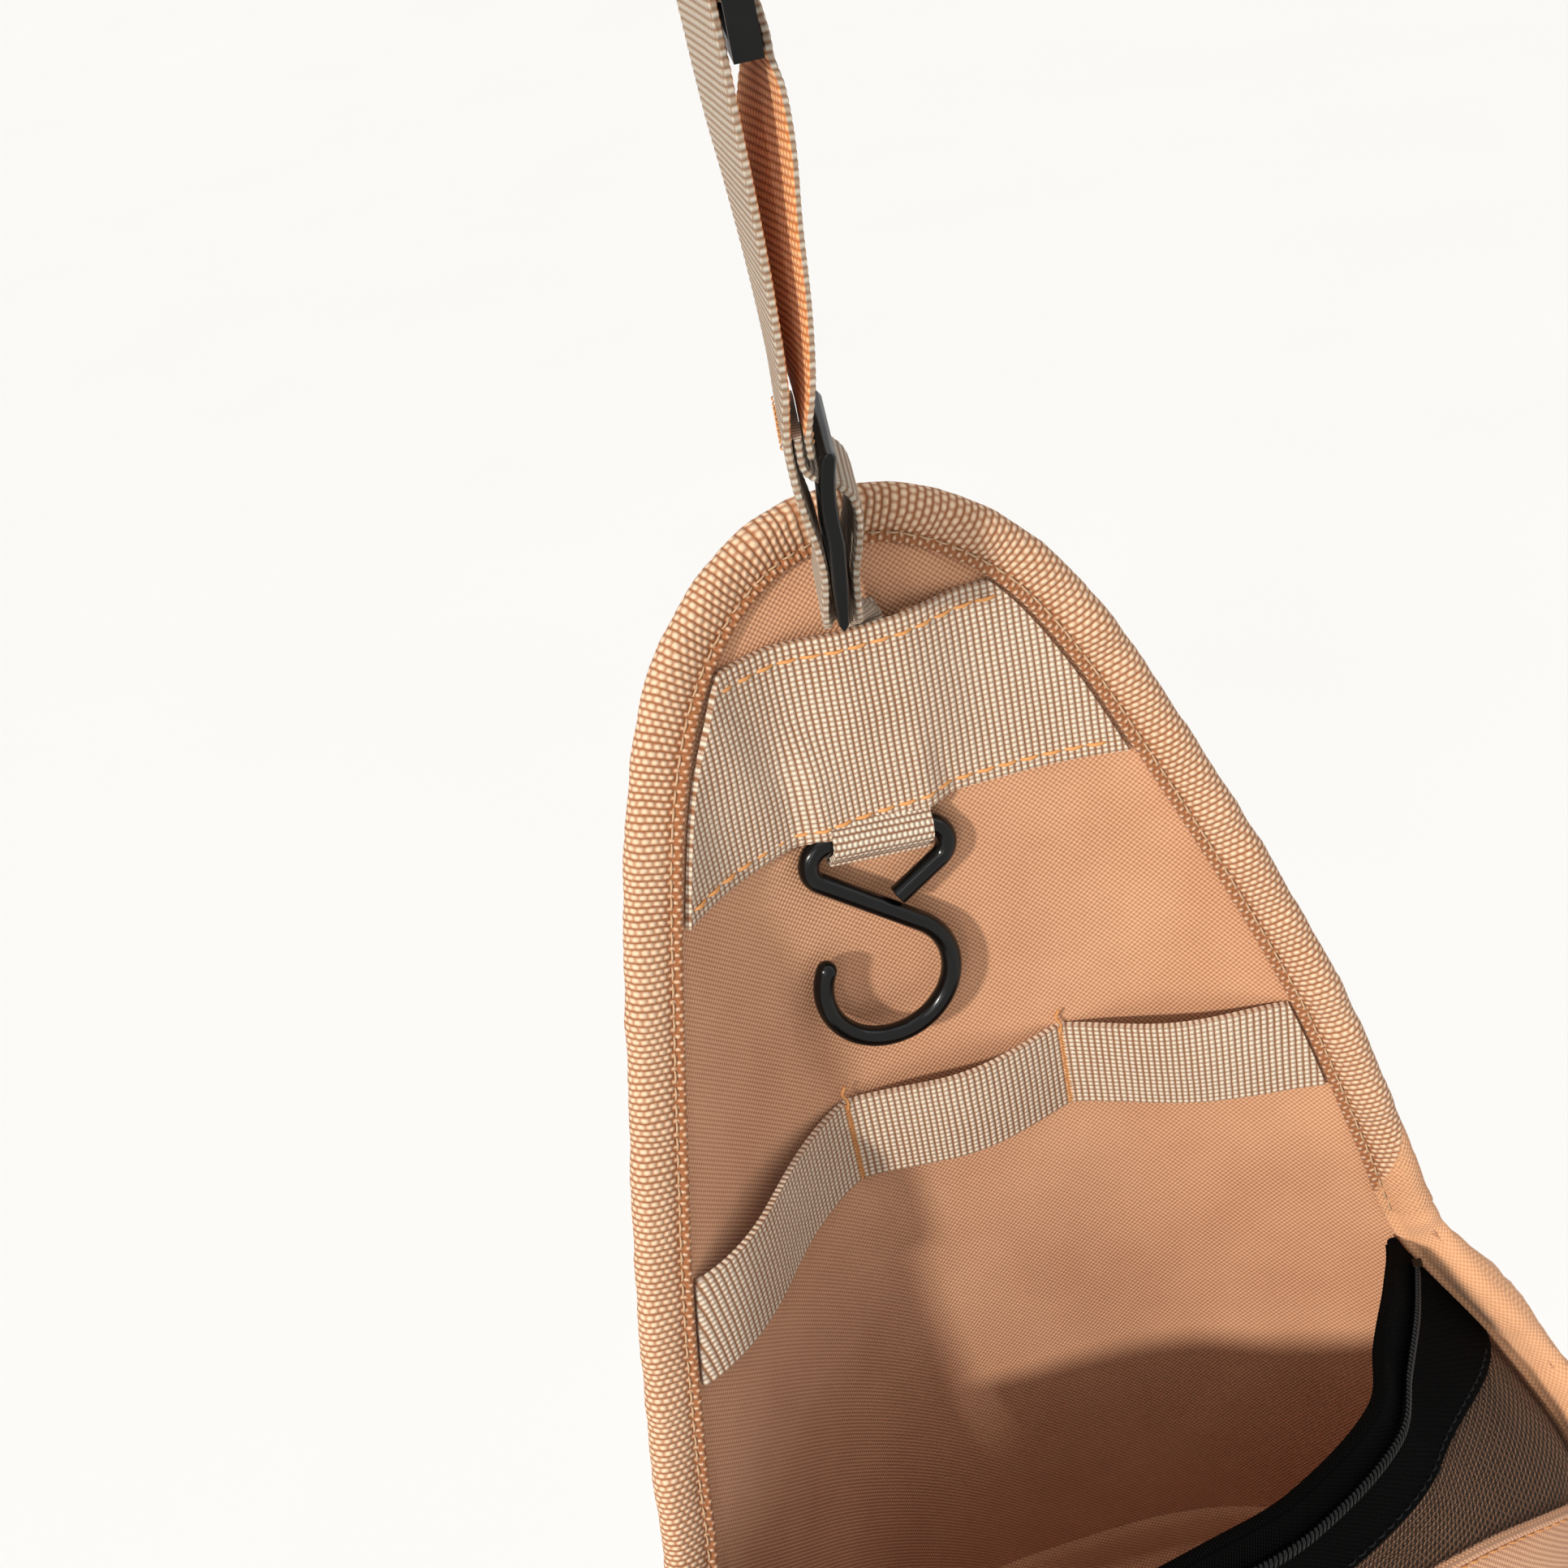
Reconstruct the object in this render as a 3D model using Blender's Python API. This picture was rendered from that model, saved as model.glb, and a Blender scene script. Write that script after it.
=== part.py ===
"""Hanging camping utensil bag: a bell-shaped padded back with a bound edge, a webbing hanging loop
with a ladder lock and a side-release buckle, an S-hook on a tab, a webbing band of three utensil
slots, and a deep pocket with a zipped mesh front.

Metres, +Z up. X runs to the viewer's right, the open front faces -Y, and the origin is the inside top
of the hanging loop, where the bag's weight is carried. Everything sewn to the back panel is placed in
the panel's own frame: X and Y from the middle of its front face, Z from the wide band's lower edge.
"""
import math

import bmesh
import bpy
import numpy as np

MM = 0.001
GAP = 0.3 * MM  # clearance between pieces that touch

# Cloth and webbing thicknesses
LINING_T = 0.8 * MM
FOAM_T = 2.2 * MM
COVER_T = 0.8 * MM
BINDING_T = 1.0 * MM
STRAP_T = 1.8 * MM
BAND_T = 1.4 * MM
TAB_T = 1.2 * MM
WALL_T = 0.9 * MM
MESH_T = 0.8 * MM
TRIM_T = 0.8 * MM

# Bend of the panel across its width: arc position from the centre in mm, slope of the cloth in degrees
SECTION_BENDS = (
    (-160, 56), (-125, 46), (-95, 40), (-65, 42), (-35, 19), (0, -10),
    (35, -14), (65, -32), (95, -45), (125, -58), (160, -58),
)
# Bell outline inside the binding, in mm: height, half width along the cloth
BELL_OUTLINE = (
    (-272, 132), (-269, 144), (-260, 154), (-242, 161), (-210, 157), (-178, 138), (-150, 114),
    (-120, 104.5), (-80, 92.5), (-40, 77), (0, 60), (25, 49), (45, 37.5), (57, 26), (64.5, 14), (67, 5),
)
OUTLINE_ROWS = 30
PANEL_COLUMNS = 16

# Binding tape, folded over the panel's edge
BINDING_REACH = 11.0 * MM
BINDING_FOLD = 1.2 * MM
BINDING_BACK_LIP = 2.4 * MM  # where the tape's back lip starts, clear of the leaning edge
# Lean of the bound edge towards the viewer: height in mm, degrees
LEFT_LEAN = ((-190, 0), (-150, -24), (-120, -34), (0, -38), (25, -40), (40, -28), (54, -8), (67, 4))
RIGHT_LEAN = ((35, 0), (55, 8), (67, 12))

# Webbing bands across the panel, and the three slots of the lower one
WIDE_BAND_H = 50 * MM
UTENSIL_BAND_H = 25 * MM
UTENSIL_BAND_TOP = -76 * MM
BAND_END_INSET = 1.2 * MM
SEAM_LEFT = -25 * MM
SEAM_RIGHT = 33 * MM
SLOT_DEPTHS = (8 * MM, 8 * MM, 8 * MM)

# Hook tab and S-hook
TAB_S = -3 * MM
TAB_W = 23.6 * MM
TAB_TUCK = 14 * MM
TAB_DROP = 10 * MM
TAB_FOLD_R = 2 * MM
HOOK_WIRE = 5 * MM
HOOK_S = -0.5 * MM
HOOK_Z = -3.5 * MM
HOOK_TILT = math.radians(-8.5)
HOOK_SWING = math.radians(3)  # at rest on the panel
HOOK_LIFT = 4 * MM
STRAP_LIFT = 1.5 * MM
HOOK_EYE_RADIUS = 5.2 * MM
HOOK_EYE_SPAN = 23 * MM
HOOK_EYE_TURN = 147
HOOK_RETURN_TURN = 143
HOOK_RETURN = 13 * MM
HOOK_SHANK = 28.8 * MM
HOOK_BOWL_RADIUS = 16 * MM
HOOK_BOWL_TURN = 257

# Pocket
RIM_Z = -139 * MM
RIM_END_Z = -150 * MM
COIL_Z = -147 * MM
BASE_Z = BELL_OUTLINE[0][0] * MM - BINDING_REACH - BINDING_FOLD - GAP
# Front of the pocket in mm: height, distance in front of the panel's frame
POCKET_FRONT = ((-284, 98), (-258, 115), (-228, 125), (-195, 126), (-165, 119), (-139, 112))
# Half plan of the rim, in shares of its half width and its depth
RIM_PLAN = ((-1, 0), (-0.91, 0.2), (-0.82, 0.4), (-0.69, 0.62), (-0.56, 0.83), (-0.24, 0.985), (0, 1))
FULL_PLAN_Z = -200 * MM
SEAM_INSET = 2.5 * MM
LAYER_EASE = 1.0 * MM
WALL_COLUMNS = 34
FOOT_LEVELS = (0, 5, 10, 16, 24, 40)  # rows of the wall above its foot, in mm
RIM_LEVELS = (0, 4, 9, 16, 26)  # rows of the inner wall below its rim, in mm
ZIP_TAPE_T = 0.6 * MM
COIL_R = 1.5 * MM
ZIP_END = 0.05
STOP_SIZE = (2.4 * MM, 3.0 * MM, 3.4 * MM)
STOP_EASE = 0.6 * MM
RIM_BAND_DROP = 16 * MM
RIM_BAND_SIDE_DROP = 12 * MM
MESH_FRONT_DROP = 27 * MM
MESH_SIDE_DROP = 45 * MM
BOARD_T = 2.0 * MM
BOARD_INSET = 3.0 * MM

# Strap loop: its middle plane, and the arch over whatever it hangs from
STRAP_W = 25 * MM
STRAP_Y = -20 * MM
LOOP_ARCH_X = -8 * MM
LOOP_TOP_Z = 256 * MM
SUPPORT_R = 8 * MM
STRAP_TUCK_Z = 22 * MM
STRAP_EXIT_Z = 50.5 * MM
STRAP_TURN = 20
STITCH_LOW_Z = 101 * MM
STITCH_HIGH_Z = 107 * MM
FINE_STEPS = 600
STATION_LENGTH = 9.0  # mm of webbing to a station
STATION_BEND = 26.0  # degrees of bend or twist to a station
TWIST_STATIONS = 17

# Ladder lock: its ends as (x, z) in mm, and its bars as distances from its top
LOCK_W = 33 * MM
LOCK_T = 3.2 * MM
LOCK_RAIL = 2.6 * MM
LOCK_TOP = (-4.3, 103.7)
LOCK_BOTTOM = (-7.8, 66.0)
LOCK_BARS = (0, 4, 14.5, 18.5, 28, 37.9)
LOCK_WAVE = 0.9 * MM

# Side-release buckle
BUCKLE_X = -5.9 * MM
BUCKLE_W = 32 * MM
BUCKLE_T = 7.4 * MM
BUCKLE_TURN = 17
BUCKLE_WALL = 1.5 * MM
MALE_T = 5.4 * MM
MALE_Z = 177 * MM
MOUTH_Z = 197 * MM
FEMALE_TOP_Z = 232.5 * MM
CROSSPIECE = 3.6 * MM
BAR_T = 2.4 * MM
BAR_WINDOW = 12.6 * MM
BAR_RAIL = 2.0 * MM
PRONG_W = 3.2 * MM
PRONG_L = 14 * MM
TONGUE_W = 5 * MM

# Zip slider and its pull
SLIDER_L = 9.5 * MM
SLIDER_W = 6.4 * MM
SLIDER_T = 1.1 * MM
SLIDER_PLACE = 0.17
SLIDER_EASE = 0.5 * MM
BRIDGE_W = 1.8 * MM
BRIDGE_H = 2.8 * MM
EYE_H = 1.8 * MM
PULL_W = 5.8 * MM
PULL_L = 22 * MM
PULL_T = 1.0 * MM

COLOURS = {
    "tan_oxford": ((0.60, 0.30, 0.15), 0.85, 0.0),
    "beige_webbing": ((0.66, 0.50, 0.35), 0.8, 0.0),
    "foam": ((0.75, 0.73, 0.68), 0.95, 0.0),
    "black_tape": ((0.02, 0.02, 0.02), 0.8, 0.0),
    "black_mesh": ((0.05, 0.04, 0.035), 0.7, 0.0),
    "black_plastic": ((0.02, 0.02, 0.02), 0.45, 0.0),
    "black_metal": ((0.012, 0.012, 0.012), 0.22, 0.6),
    "board": ((0.15, 0.14, 0.13), 0.6, 0.0),
}
UP = np.array([0.0, 0.0, 1.0])


def clear_scene():
    for obj in list(bpy.data.objects):
        bpy.data.objects.remove(obj, do_unlink=True)


def material(name):
    found = bpy.data.materials.get(name)
    if found:
        return found
    colour, roughness, metallic = COLOURS[name]
    made = bpy.data.materials.new(name)
    made.use_nodes = True
    shader = made.node_tree.nodes["Principled BSDF"]
    shader.inputs["Base Color"].default_value = (*colour, 1)
    shader.inputs["Roughness"].default_value = roughness
    shader.inputs["Metallic"].default_value = metallic
    return made


def add_mesh(name, points, faces, slot, parent=None):
    mesh = bpy.data.meshes.new(name)
    mesh.from_pydata([tuple(map(float, p)) for p in points], [], faces)
    mesh.update()
    outward = bmesh.new()
    outward.from_mesh(mesh)
    bmesh.ops.recalc_face_normals(outward, faces=outward.faces)
    outward.to_mesh(mesh)
    outward.free()
    mesh.materials.append(material(slot))
    mesh.shade_smooth()
    mesh.set_sharp_from_angle(angle=math.radians(40))
    obj = bpy.data.objects.new(name, mesh)
    bpy.context.scene.collection.objects.link(obj)
    obj.parent = parent
    return obj


def add_empty(name, location, rotation=(0, 0, 0), parent=None):
    empty = bpy.data.objects.new(name, None)
    empty.location = location
    empty.rotation_euler = rotation
    empty.empty_display_size = 0.02
    bpy.context.scene.collection.objects.link(empty)
    empty.parent = parent
    return empty


def smooth_curve(points, count):
    """Evenly spaced points on a smooth curve through the given ones."""
    given = np.array(points, float)
    knots = np.r_[0, np.cumsum(np.linalg.norm(np.diff(given, axis=0), axis=1))]
    slopes = np.zeros_like(given)
    slopes[1:-1] = (given[2:] - given[:-2]) / (knots[2:] - knots[:-2])[:, None]
    slopes[0] = (given[1] - given[0]) / (knots[1] - knots[0])
    slopes[-1] = (given[-1] - given[-2]) / (knots[-1] - knots[-2])
    at = np.linspace(0, knots[-1], count)
    k = np.clip(np.searchsorted(knots, at, side="right") - 1, 0, len(knots) - 2)
    step = (knots[k + 1] - knots[k])[:, None]
    u = ((at - knots[k]) / (knots[k + 1] - knots[k]))[:, None]
    return (
        (2 * u**3 - 3 * u**2 + 1) * given[k]
        + (u**3 - 2 * u**2 + u) * step * slopes[k]
        + (3 * u**2 - 2 * u**3) * given[k + 1]
        + (u**3 - u**2) * step * slopes[k + 1]
    )


def in_mm(points):
    return np.array(points, float) * MM


def share(value, low, high):
    """How far a value is from low to high, held between 0 and 1."""
    return min(max((value - low) / (high - low), 0.0), 1.0)


# Panel surface

ARC = np.linspace(-200 * MM, 200 * MM, 801)
BENDS = np.array(SECTION_BENDS, float)
SLOPE = np.radians(np.interp(ARC, BENDS[:, 0] * MM, BENDS[:, 1]))
ARC_STEP = np.diff(ARC)
SECTION_X = np.r_[0, np.cumsum((np.cos(SLOPE[1:]) + np.cos(SLOPE[:-1])) / 2 * ARC_STEP)]
SECTION_Y = np.r_[0, np.cumsum((np.sin(SLOPE[1:]) + np.sin(SLOPE[:-1])) / 2 * ARC_STEP)]
SECTION_X -= np.interp(0, ARC, SECTION_X)
SECTION_Y -= np.interp(0, ARC, SECTION_Y)
OUTLINE = smooth_curve(in_mm(BELL_OUTLINE), 300)


def half_width(z):
    """Half width of the panel inside the binding, along the cloth, at a height."""
    return float(np.interp(z, OUTLINE[:, 0], OUTLINE[:, 1]))


def slope_at(s):
    return float(np.interp(s, ARC, SLOPE))


def forward(s):
    """Unit vector out of the panel's front face."""
    a = slope_at(s)
    return np.array([math.sin(a), -math.cos(a), 0.0])


def across(s):
    """Unit vector along the cloth, to the right."""
    a = slope_at(s)
    return np.array([math.cos(a), math.sin(a), 0.0])


def panel_point(s, z, offset=0.0):
    """Point of the panel's front face, or in front of it by the offset."""
    place = np.array([np.interp(s, ARC, SECTION_X), np.interp(s, ARC, SECTION_Y), z])
    return place + offset * forward(s)


def edge_lean(s, z):
    table = np.array(LEFT_LEAN if s < 0 else RIGHT_LEAN, float)
    return math.radians(float(np.interp(z, table[:, 0] * MM, table[:, 1])))


def panel_rows():
    """Heights and half widths of the rows that the panel's mesh follows, from the bottom up."""
    return smooth_curve(in_mm(BELL_OUTLINE), OUTLINE_ROWS)


def edge_loop():
    """Loop of (s, z, grid index) round the panel: up the left, over the top, down the right."""
    rows = panel_rows()
    count = PANEL_COLUMNS
    top = len(rows) - 1
    loop = [(-w, z, (i, 0)) for i, (z, w) in enumerate(rows)]
    z, w = rows[top]
    loop += [(-w + 2 * w * j / count, z, (top, j)) for j in range(1, count)]
    loop += [(rows[i][1], rows[i][0], (i, count)) for i in range(top, -1, -1)]
    z, w = rows[0]
    loop += [(-w + 2 * w * j / count, z, (0, j)) for j in range(count - 1, 0, -1)]
    return loop


def edge_frames():
    """For each point of the loop: its place, the outward and the upward unit vector, its grid index."""
    loop = edge_loop()
    flat = np.array([(s, z) for s, z, _ in loop])
    step = np.roll(flat, -1, axis=0) - flat
    step /= np.linalg.norm(step, axis=1)[:, None]
    frames = []
    for k, (s, z, index) in enumerate(loop):
        along = step[k] + step[k - 1]
        along /= np.linalg.norm(along)
        out = -along[1] * across(s) + along[0] * UP
        lean = edge_lean(s, z)
        outward = math.cos(lean) * out + math.sin(lean) * forward(s)
        upward = math.cos(lean) * forward(s) - math.sin(lean) * out
        frames.append((panel_point(s, z), outward, upward, index))
    return frames


def closed_solid(name, front, back, faces, slot, parent):
    """Solid between two matching sets of points, closed along the sheet's free edges."""
    count = len(front)
    used = set()
    triangles = []
    for face in faces:
        triangles += [(face[0], face[k], face[k + 1]) for k in range(1, len(face) - 1)]
        used |= set(zip(face, face[1:] + face[:1]))
    sides = [(a, b, b + count, a + count) for a, b in used if (b, a) not in used]
    turned = [tuple(v + count for v in reversed(face)) for face in triangles]
    points = list(front) + list(back)
    return add_mesh(name, points, triangles + turned + sides, slot, parent)


def panel_layer(name, front_offset, thickness, slot, parent):
    """One sheet of the back panel, from its front offset back by its thickness."""
    rows = panel_rows()
    width = PANEL_COLUMNS + 1
    base = []
    normals = []
    for z, w in rows:
        for j in range(width):
            s = -w + 2 * w * j / PANEL_COLUMNS
            base.append(panel_point(s, z))
            normals.append(forward(s))
    faces = [
        [i * width + j, i * width + j + 1, (i + 1) * width + j + 1, (i + 1) * width + j]
        for i in range(len(rows) - 1)
        for j in range(PANEL_COLUMNS)
    ]
    frames = edge_frames()
    inner = [i * width + j for _, _, _, (i, j) in frames]
    rim = list(range(len(base), len(base) + len(frames)))
    for place, outward, upward, _ in frames:
        base.append(place + outward * (BINDING_REACH - GAP - BINDING_T))
        normals.append(upward)
    for k in range(len(frames)):
        n = (k + 1) % len(frames)
        faces.append([inner[k], inner[n], rim[n], rim[k]])
    base = np.array(base)
    normals = np.array(normals)
    front = base + front_offset * normals
    back = base + (front_offset - thickness) * normals
    return closed_solid(name, front, back, faces, slot, parent)


def sweep(name, frames, profile, slot, parent, closed=False):
    """Carries a closed profile of (outward, upward) pairs along frames of place, outward, upward."""
    points = []
    count = len(profile)
    for place, outward, upward in frames:
        points += [place + outward * u + upward * v for u, v in profile]
    faces = []
    last = len(frames) if closed else len(frames) - 1
    for k in range(last):
        n = (k + 1) % len(frames)
        for j in range(count):
            m = (j + 1) % count
            a, b, c, d = k * count + j, k * count + m, n * count + m, n * count + j
            # The diagonal runs the same way on both faces of the tape
            if profile[j][0] <= profile[m][0]:
                faces += [(a, b, c), (a, c, d)]
            else:
                faces += [(a, b, d), (b, c, d)]
    if not closed:
        faces.append(tuple(range(count)))
        faces.append(tuple((len(frames) - 1) * count + j for j in reversed(range(count))))
    return add_mesh(name, points, faces, slot, parent)


def edge_binding(parent):
    """Tape folded over the panel's whole edge, as a channel with a rounded fold."""
    back = LINING_T + FOAM_T + COVER_T + 2 * GAP
    inner = BINDING_REACH - BINDING_T
    outer_front = GAP + BINDING_T
    outer_back = -back - GAP - BINDING_T
    middle = (outer_front + outer_back) / 2
    profile = [
        (0, GAP), (0, outer_front), (inner, outer_front), (BINDING_REACH + 0.5 * BINDING_FOLD, 0),
        (BINDING_REACH + BINDING_FOLD, middle), (BINDING_REACH + 0.5 * BINDING_FOLD, -back),
        (inner, outer_back), (BINDING_BACK_LIP, outer_back), (BINDING_BACK_LIP, -back - GAP),
        (inner, -back - GAP), (inner, GAP),
    ]
    frames = [(place, outward, upward) for place, outward, upward, _ in edge_frames()]
    return sweep("edge_binding", frames, profile, "beige_webbing", parent, closed=True)


def grid_solid(name, front, back, slot, parent, holes=()):
    """Solid between two equal grids of points, without the cells listed as holes."""
    rows = len(front)
    width = len(front[0])
    faces = [
        [i * width + j, i * width + j + 1, (i + 1) * width + j + 1, (i + 1) * width + j]
        for i in range(rows - 1)
        for j in range(width - 1)
        if (i, j) not in holes
    ]
    flat_front = [p for row in front for p in row]
    flat_back = [p for row in back for p in row]
    return closed_solid(name, flat_front, flat_back, faces, slot, parent)


# Webbing bands

def seat_frame():
    """Chord over the panel's middle that the tab and the strap ends lie on: middle, across, forward."""
    left = panel_point(TAB_S - 0.5 * STRAP_W, 0)
    right = panel_point(TAB_S + 0.5 * STRAP_W, 0)
    run = (right - left) / np.linalg.norm(right - left)
    return (left + right) / 2, run, np.array([run[1], -run[0], 0.0])


def seat_point(u, z, offset):
    middle, run, normal = seat_frame()
    return middle + u * run + offset * normal + z * UP


def seat_turn():
    """Turn of webbing that lies flat on the seat, in degrees from the Y axis."""
    _, run, _ = seat_frame()
    return math.degrees(math.atan2(run[0], run[1]))


def wide_band(parent):
    """50 mm webbing sewn across the panel, lifted over the strap and tab ends sewn in behind it."""
    stack = 4 * GAP + 2 * STRAP_T
    flat = 0.5 * STRAP_W + 1.2 * MM
    ramp = flat + 8 * MM
    front = []
    back = []
    for z in np.linspace(0, WIDE_BAND_H, 5):
        end = half_width(z) - BAND_END_INSET
        lift = stack + HOOK_LIFT * (z == 0) + STRAP_LIFT * (z == WIDE_BAND_H)
        left = [(s, None) for s in np.linspace(-end, TAB_S - ramp, 7)]
        middle = [(None, u) for u in (-flat, 0, flat)]
        right = [(s, None) for s in np.linspace(TAB_S + ramp, end, 7)]
        row = left + middle + right
        for line, offset in ((back, 0), (front, BAND_T)):
            line.append([
                panel_point(s, z, GAP + offset) if u is None else seat_point(u, z, lift + offset)
                for s, u in row
            ])
    return grid_solid("wide_band", front, back, "beige_webbing", parent)


def slot_depth(s, end):
    """How far the utensil band stands off the panel at an arc position."""
    edges = (-end, SEAM_LEFT, SEAM_RIGHT, end)
    for start, stop, depth in zip(edges, edges[1:], SLOT_DEPTHS):
        if start <= s <= stop:
            return depth * math.sin(math.pi * (s - start) / (stop - start)) ** 0.8
    return 0.0


def utensil_band(parent):
    """25 mm webbing sewn down at its ends and at two seams, so that it stands off as three slots."""
    columns = 12
    front = []
    back = []
    for z in (UTENSIL_BAND_TOP - UTENSIL_BAND_H, UTENSIL_BAND_TOP):
        end = half_width(z) - BAND_END_INSET
        stations = np.r_[
            np.linspace(-end, SEAM_LEFT, columns, endpoint=False),
            np.linspace(SEAM_LEFT, SEAM_RIGHT, columns, endpoint=False),
            np.linspace(SEAM_RIGHT, end, columns + 1),
        ]
        line = [panel_point(s, z, GAP + slot_depth(s, end)) for s in stations]
        last = len(line) - 1
        ahead = [line[min(j + 1, last)] - line[max(j - 1, 0)] for j in range(last + 1)]
        out = [np.array([d[1], -d[0], 0]) / math.hypot(d[0], d[1]) for d in ahead]
        back.append(line)
        front.append([p + n * BAND_T for p, n in zip(line, out)])
    return grid_solid("utensil_band", front, back, "beige_webbing", parent)


# Hook tab and S-hook

def wire_offset():
    """Distance of the hook's wire in front of the seat, inside the tab."""
    return 2 * GAP + TAB_T + HOOK_WIRE / 2


def tab_path():
    """Middle line of the tab as (offset, height): down behind the wire, round the fold, up in front."""
    behind = GAP + TAB_T / 2
    in_front = 2 * GAP + 1.5 * TAB_T
    round_wire = HOOK_WIRE / 2 + GAP + TAB_T / 2 + 0.1 * MM
    fold_z = -TAB_DROP + TAB_T / 2 + TAB_FOLD_R
    wire = wire_offset()
    path = [(behind, TAB_TUCK), (behind, 0.4 * TAB_TUCK), (behind, HOOK_Z), (behind, fold_z)]
    for angle in (225, 270, 315, 360):
        a = math.radians(angle)
        path.append((
            behind + TAB_FOLD_R + TAB_FOLD_R * math.cos(a), fold_z + TAB_FOLD_R * math.sin(a),
        ))
    for angle in (-38, -5, 30):
        a = math.radians(angle)
        path.append((wire + round_wire * math.cos(a), HOOK_Z + round_wire * math.sin(a)))
    path += [
        (wire + 0.45 * round_wire, HOOK_Z + 1.1 * round_wire),
        (0.5 * (wire + in_front) + 0.9 * MM, 0.22 * TAB_TUCK),
        (in_front + 0.3 * MM, 0.5 * TAB_TUCK), (in_front, 0.7 * TAB_TUCK), (in_front, TAB_TUCK),
    ]
    return np.array(path)


def hook_tab(parent):
    """Short webbing loop: both ends sewn in behind the wide band, the hook's wire inside it."""
    path = tab_path()
    last = len(path) - 1
    outer = []
    inner = []
    for k, (offset, z) in enumerate(path):
        ahead = path[min(k + 1, last)] - path[max(k - 1, 0)]
        normal = np.array([ahead[1], -ahead[0]]) / np.linalg.norm(ahead) * TAB_T / 2
        follow = 1 - share(z, 0, TAB_TUCK)
        inner_row = []
        outer_row = []
        tilt = math.tan(HOOK_TILT) * follow
        shift = -(z - HOOK_Z) * tilt
        for u in (-0.5 * TAB_W, 0, 0.5 * TAB_W):
            inner_row.append(seat_point(u + shift, z + u * tilt - normal[1], offset - normal[0]))
            outer_row.append(seat_point(u + shift, z + u * tilt + normal[1], offset + normal[0]))
        inner.append(inner_row)
        outer.append(outer_row)
    return grid_solid("hook_tab", outer, inner, "beige_webbing", parent)


def arc_steps(place, heading, radius, turn, count):
    """Points along an arc that turns left for a positive turn, then its last point and heading."""
    side = 1 if turn > 0 else -1
    centre = place + radius * side * np.array([-math.sin(heading), math.cos(heading)])
    points = []
    for k in range(1, count + 1):
        now = heading + math.radians(turn) * k / count
        points.append(centre - radius * side * np.array([-math.sin(now), math.cos(now)]))
    return points, points[-1], heading + math.radians(turn)


def hook_path():
    """S-hook centreline in its own plane, the middle of the eye's top wire at the origin."""
    start = np.array([HOOK_EYE_SPAN / 2, 0.0])
    right, place, heading = arc_steps(start, 0.0, HOOK_EYE_RADIUS, -HOOK_RETURN_TURN, 8)
    cut_end = place + HOOK_RETURN * np.array([math.cos(heading), math.sin(heading)])
    left, place, heading = arc_steps(-start, math.pi, HOOK_EYE_RADIUS, HOOK_EYE_TURN, 8)
    place = place + HOOK_SHANK * np.array([math.cos(heading), math.sin(heading)])
    bowl, _, _ = arc_steps(place, heading, HOOK_BOWL_RADIUS, -HOOK_BOWL_TURN, 20)
    return [cut_end, *reversed(right), start, -start, *left, place, *bowl]


def s_hook(parent):
    """Bent wire, its origin on the stretch that lies in the tab."""
    pivot_place = seat_point(HOOK_S, HOOK_Z + HOOK_S * math.tan(HOOK_TILT), wire_offset())
    _, run, _ = seat_frame()
    lie = math.atan2(run[1], run[0])
    pivot = add_empty("hook_pivot", pivot_place, (-HOOK_SWING, -HOOK_TILT, lie), parent)
    line = hook_path()
    last = len(line) - 1
    frames = []
    for k, place in enumerate(line):
        ahead = line[min(k + 1, last)] - line[max(k - 1, 0)]
        ahead = ahead / np.linalg.norm(ahead)
        frames.append((
            np.array([place[0], 0, place[1]]), np.array([ahead[1], 0, -ahead[0]]),
            np.array([0.0, 1.0, 0.0]),
        ))
    radius = HOOK_WIRE / 2
    profile = [
        (radius * math.cos(a), radius * math.sin(a)) for a in np.arange(8) * math.pi / 4 + math.pi / 8
    ]
    return sweep("s_hook", frames, profile, "black_metal", pivot)


# Pocket shell

FRONT_LINE = smooth_curve(in_mm(POCKET_FRONT), 120)
RIM_LINE = smooth_curve([*RIM_PLAN, *((-c, s) for c, s in reversed(RIM_PLAN[:-1]))], 181)


def seam_point(side, z):
    """Where the pocket's wall meets the panel, in front of the lining or of the bottom binding."""
    s = side * (half_width(z) - SEAM_INSET)
    low = share(-z, -OUTLINE[0, 0] - BINDING_REACH, -OUTLINE[0, 0])
    return panel_point(s, z, GAP + WALL_T + low * (BINDING_T + GAP))


def wall_plan(t, z):
    """Point of the pocket's wall, t from 0 at the left seam to 1 at the right."""
    left = seam_point(-1, z)
    right = seam_point(1, z)
    oval = share(-z, -RIM_Z, -FULL_PLAN_Z)
    k = t * (len(RIM_LINE) - 1)
    rim = np.array([np.interp(k, range(len(RIM_LINE)), RIM_LINE[:, i]) for i in (0, 1)])
    c, s = (1 - oval) * rim + oval * np.array([-math.cos(math.pi * t), math.sin(math.pi * t)])
    middle = (left + right) / 2
    place = middle + (right - left) / 2 * c
    depth = float(np.interp(z, FRONT_LINE[:, 0], FRONT_LINE[:, 1]))
    place[1] -= (middle[1] + depth) * s
    return place


def wall_out(t, z):
    """Level unit vector out of the pocket."""
    step = 0.004
    run = wall_plan(min(t + step, 1), z) - wall_plan(max(t - step, 0), z)
    return np.array([run[1], -run[0], 0]) / math.hypot(run[0], run[1])


def wall_point(t, z, offset=0.0):
    return wall_plan(t, z) + offset * wall_out(t, z)


def side_share(t):
    return abs(math.cos(math.pi * t))


def rim_top(t):
    return RIM_Z - (RIM_Z - RIM_END_Z) * side_share(t) ** 12


def coil_line(t):
    return COIL_Z - (RIM_Z - RIM_END_Z) * 0.6 * side_share(t) ** 12


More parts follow.
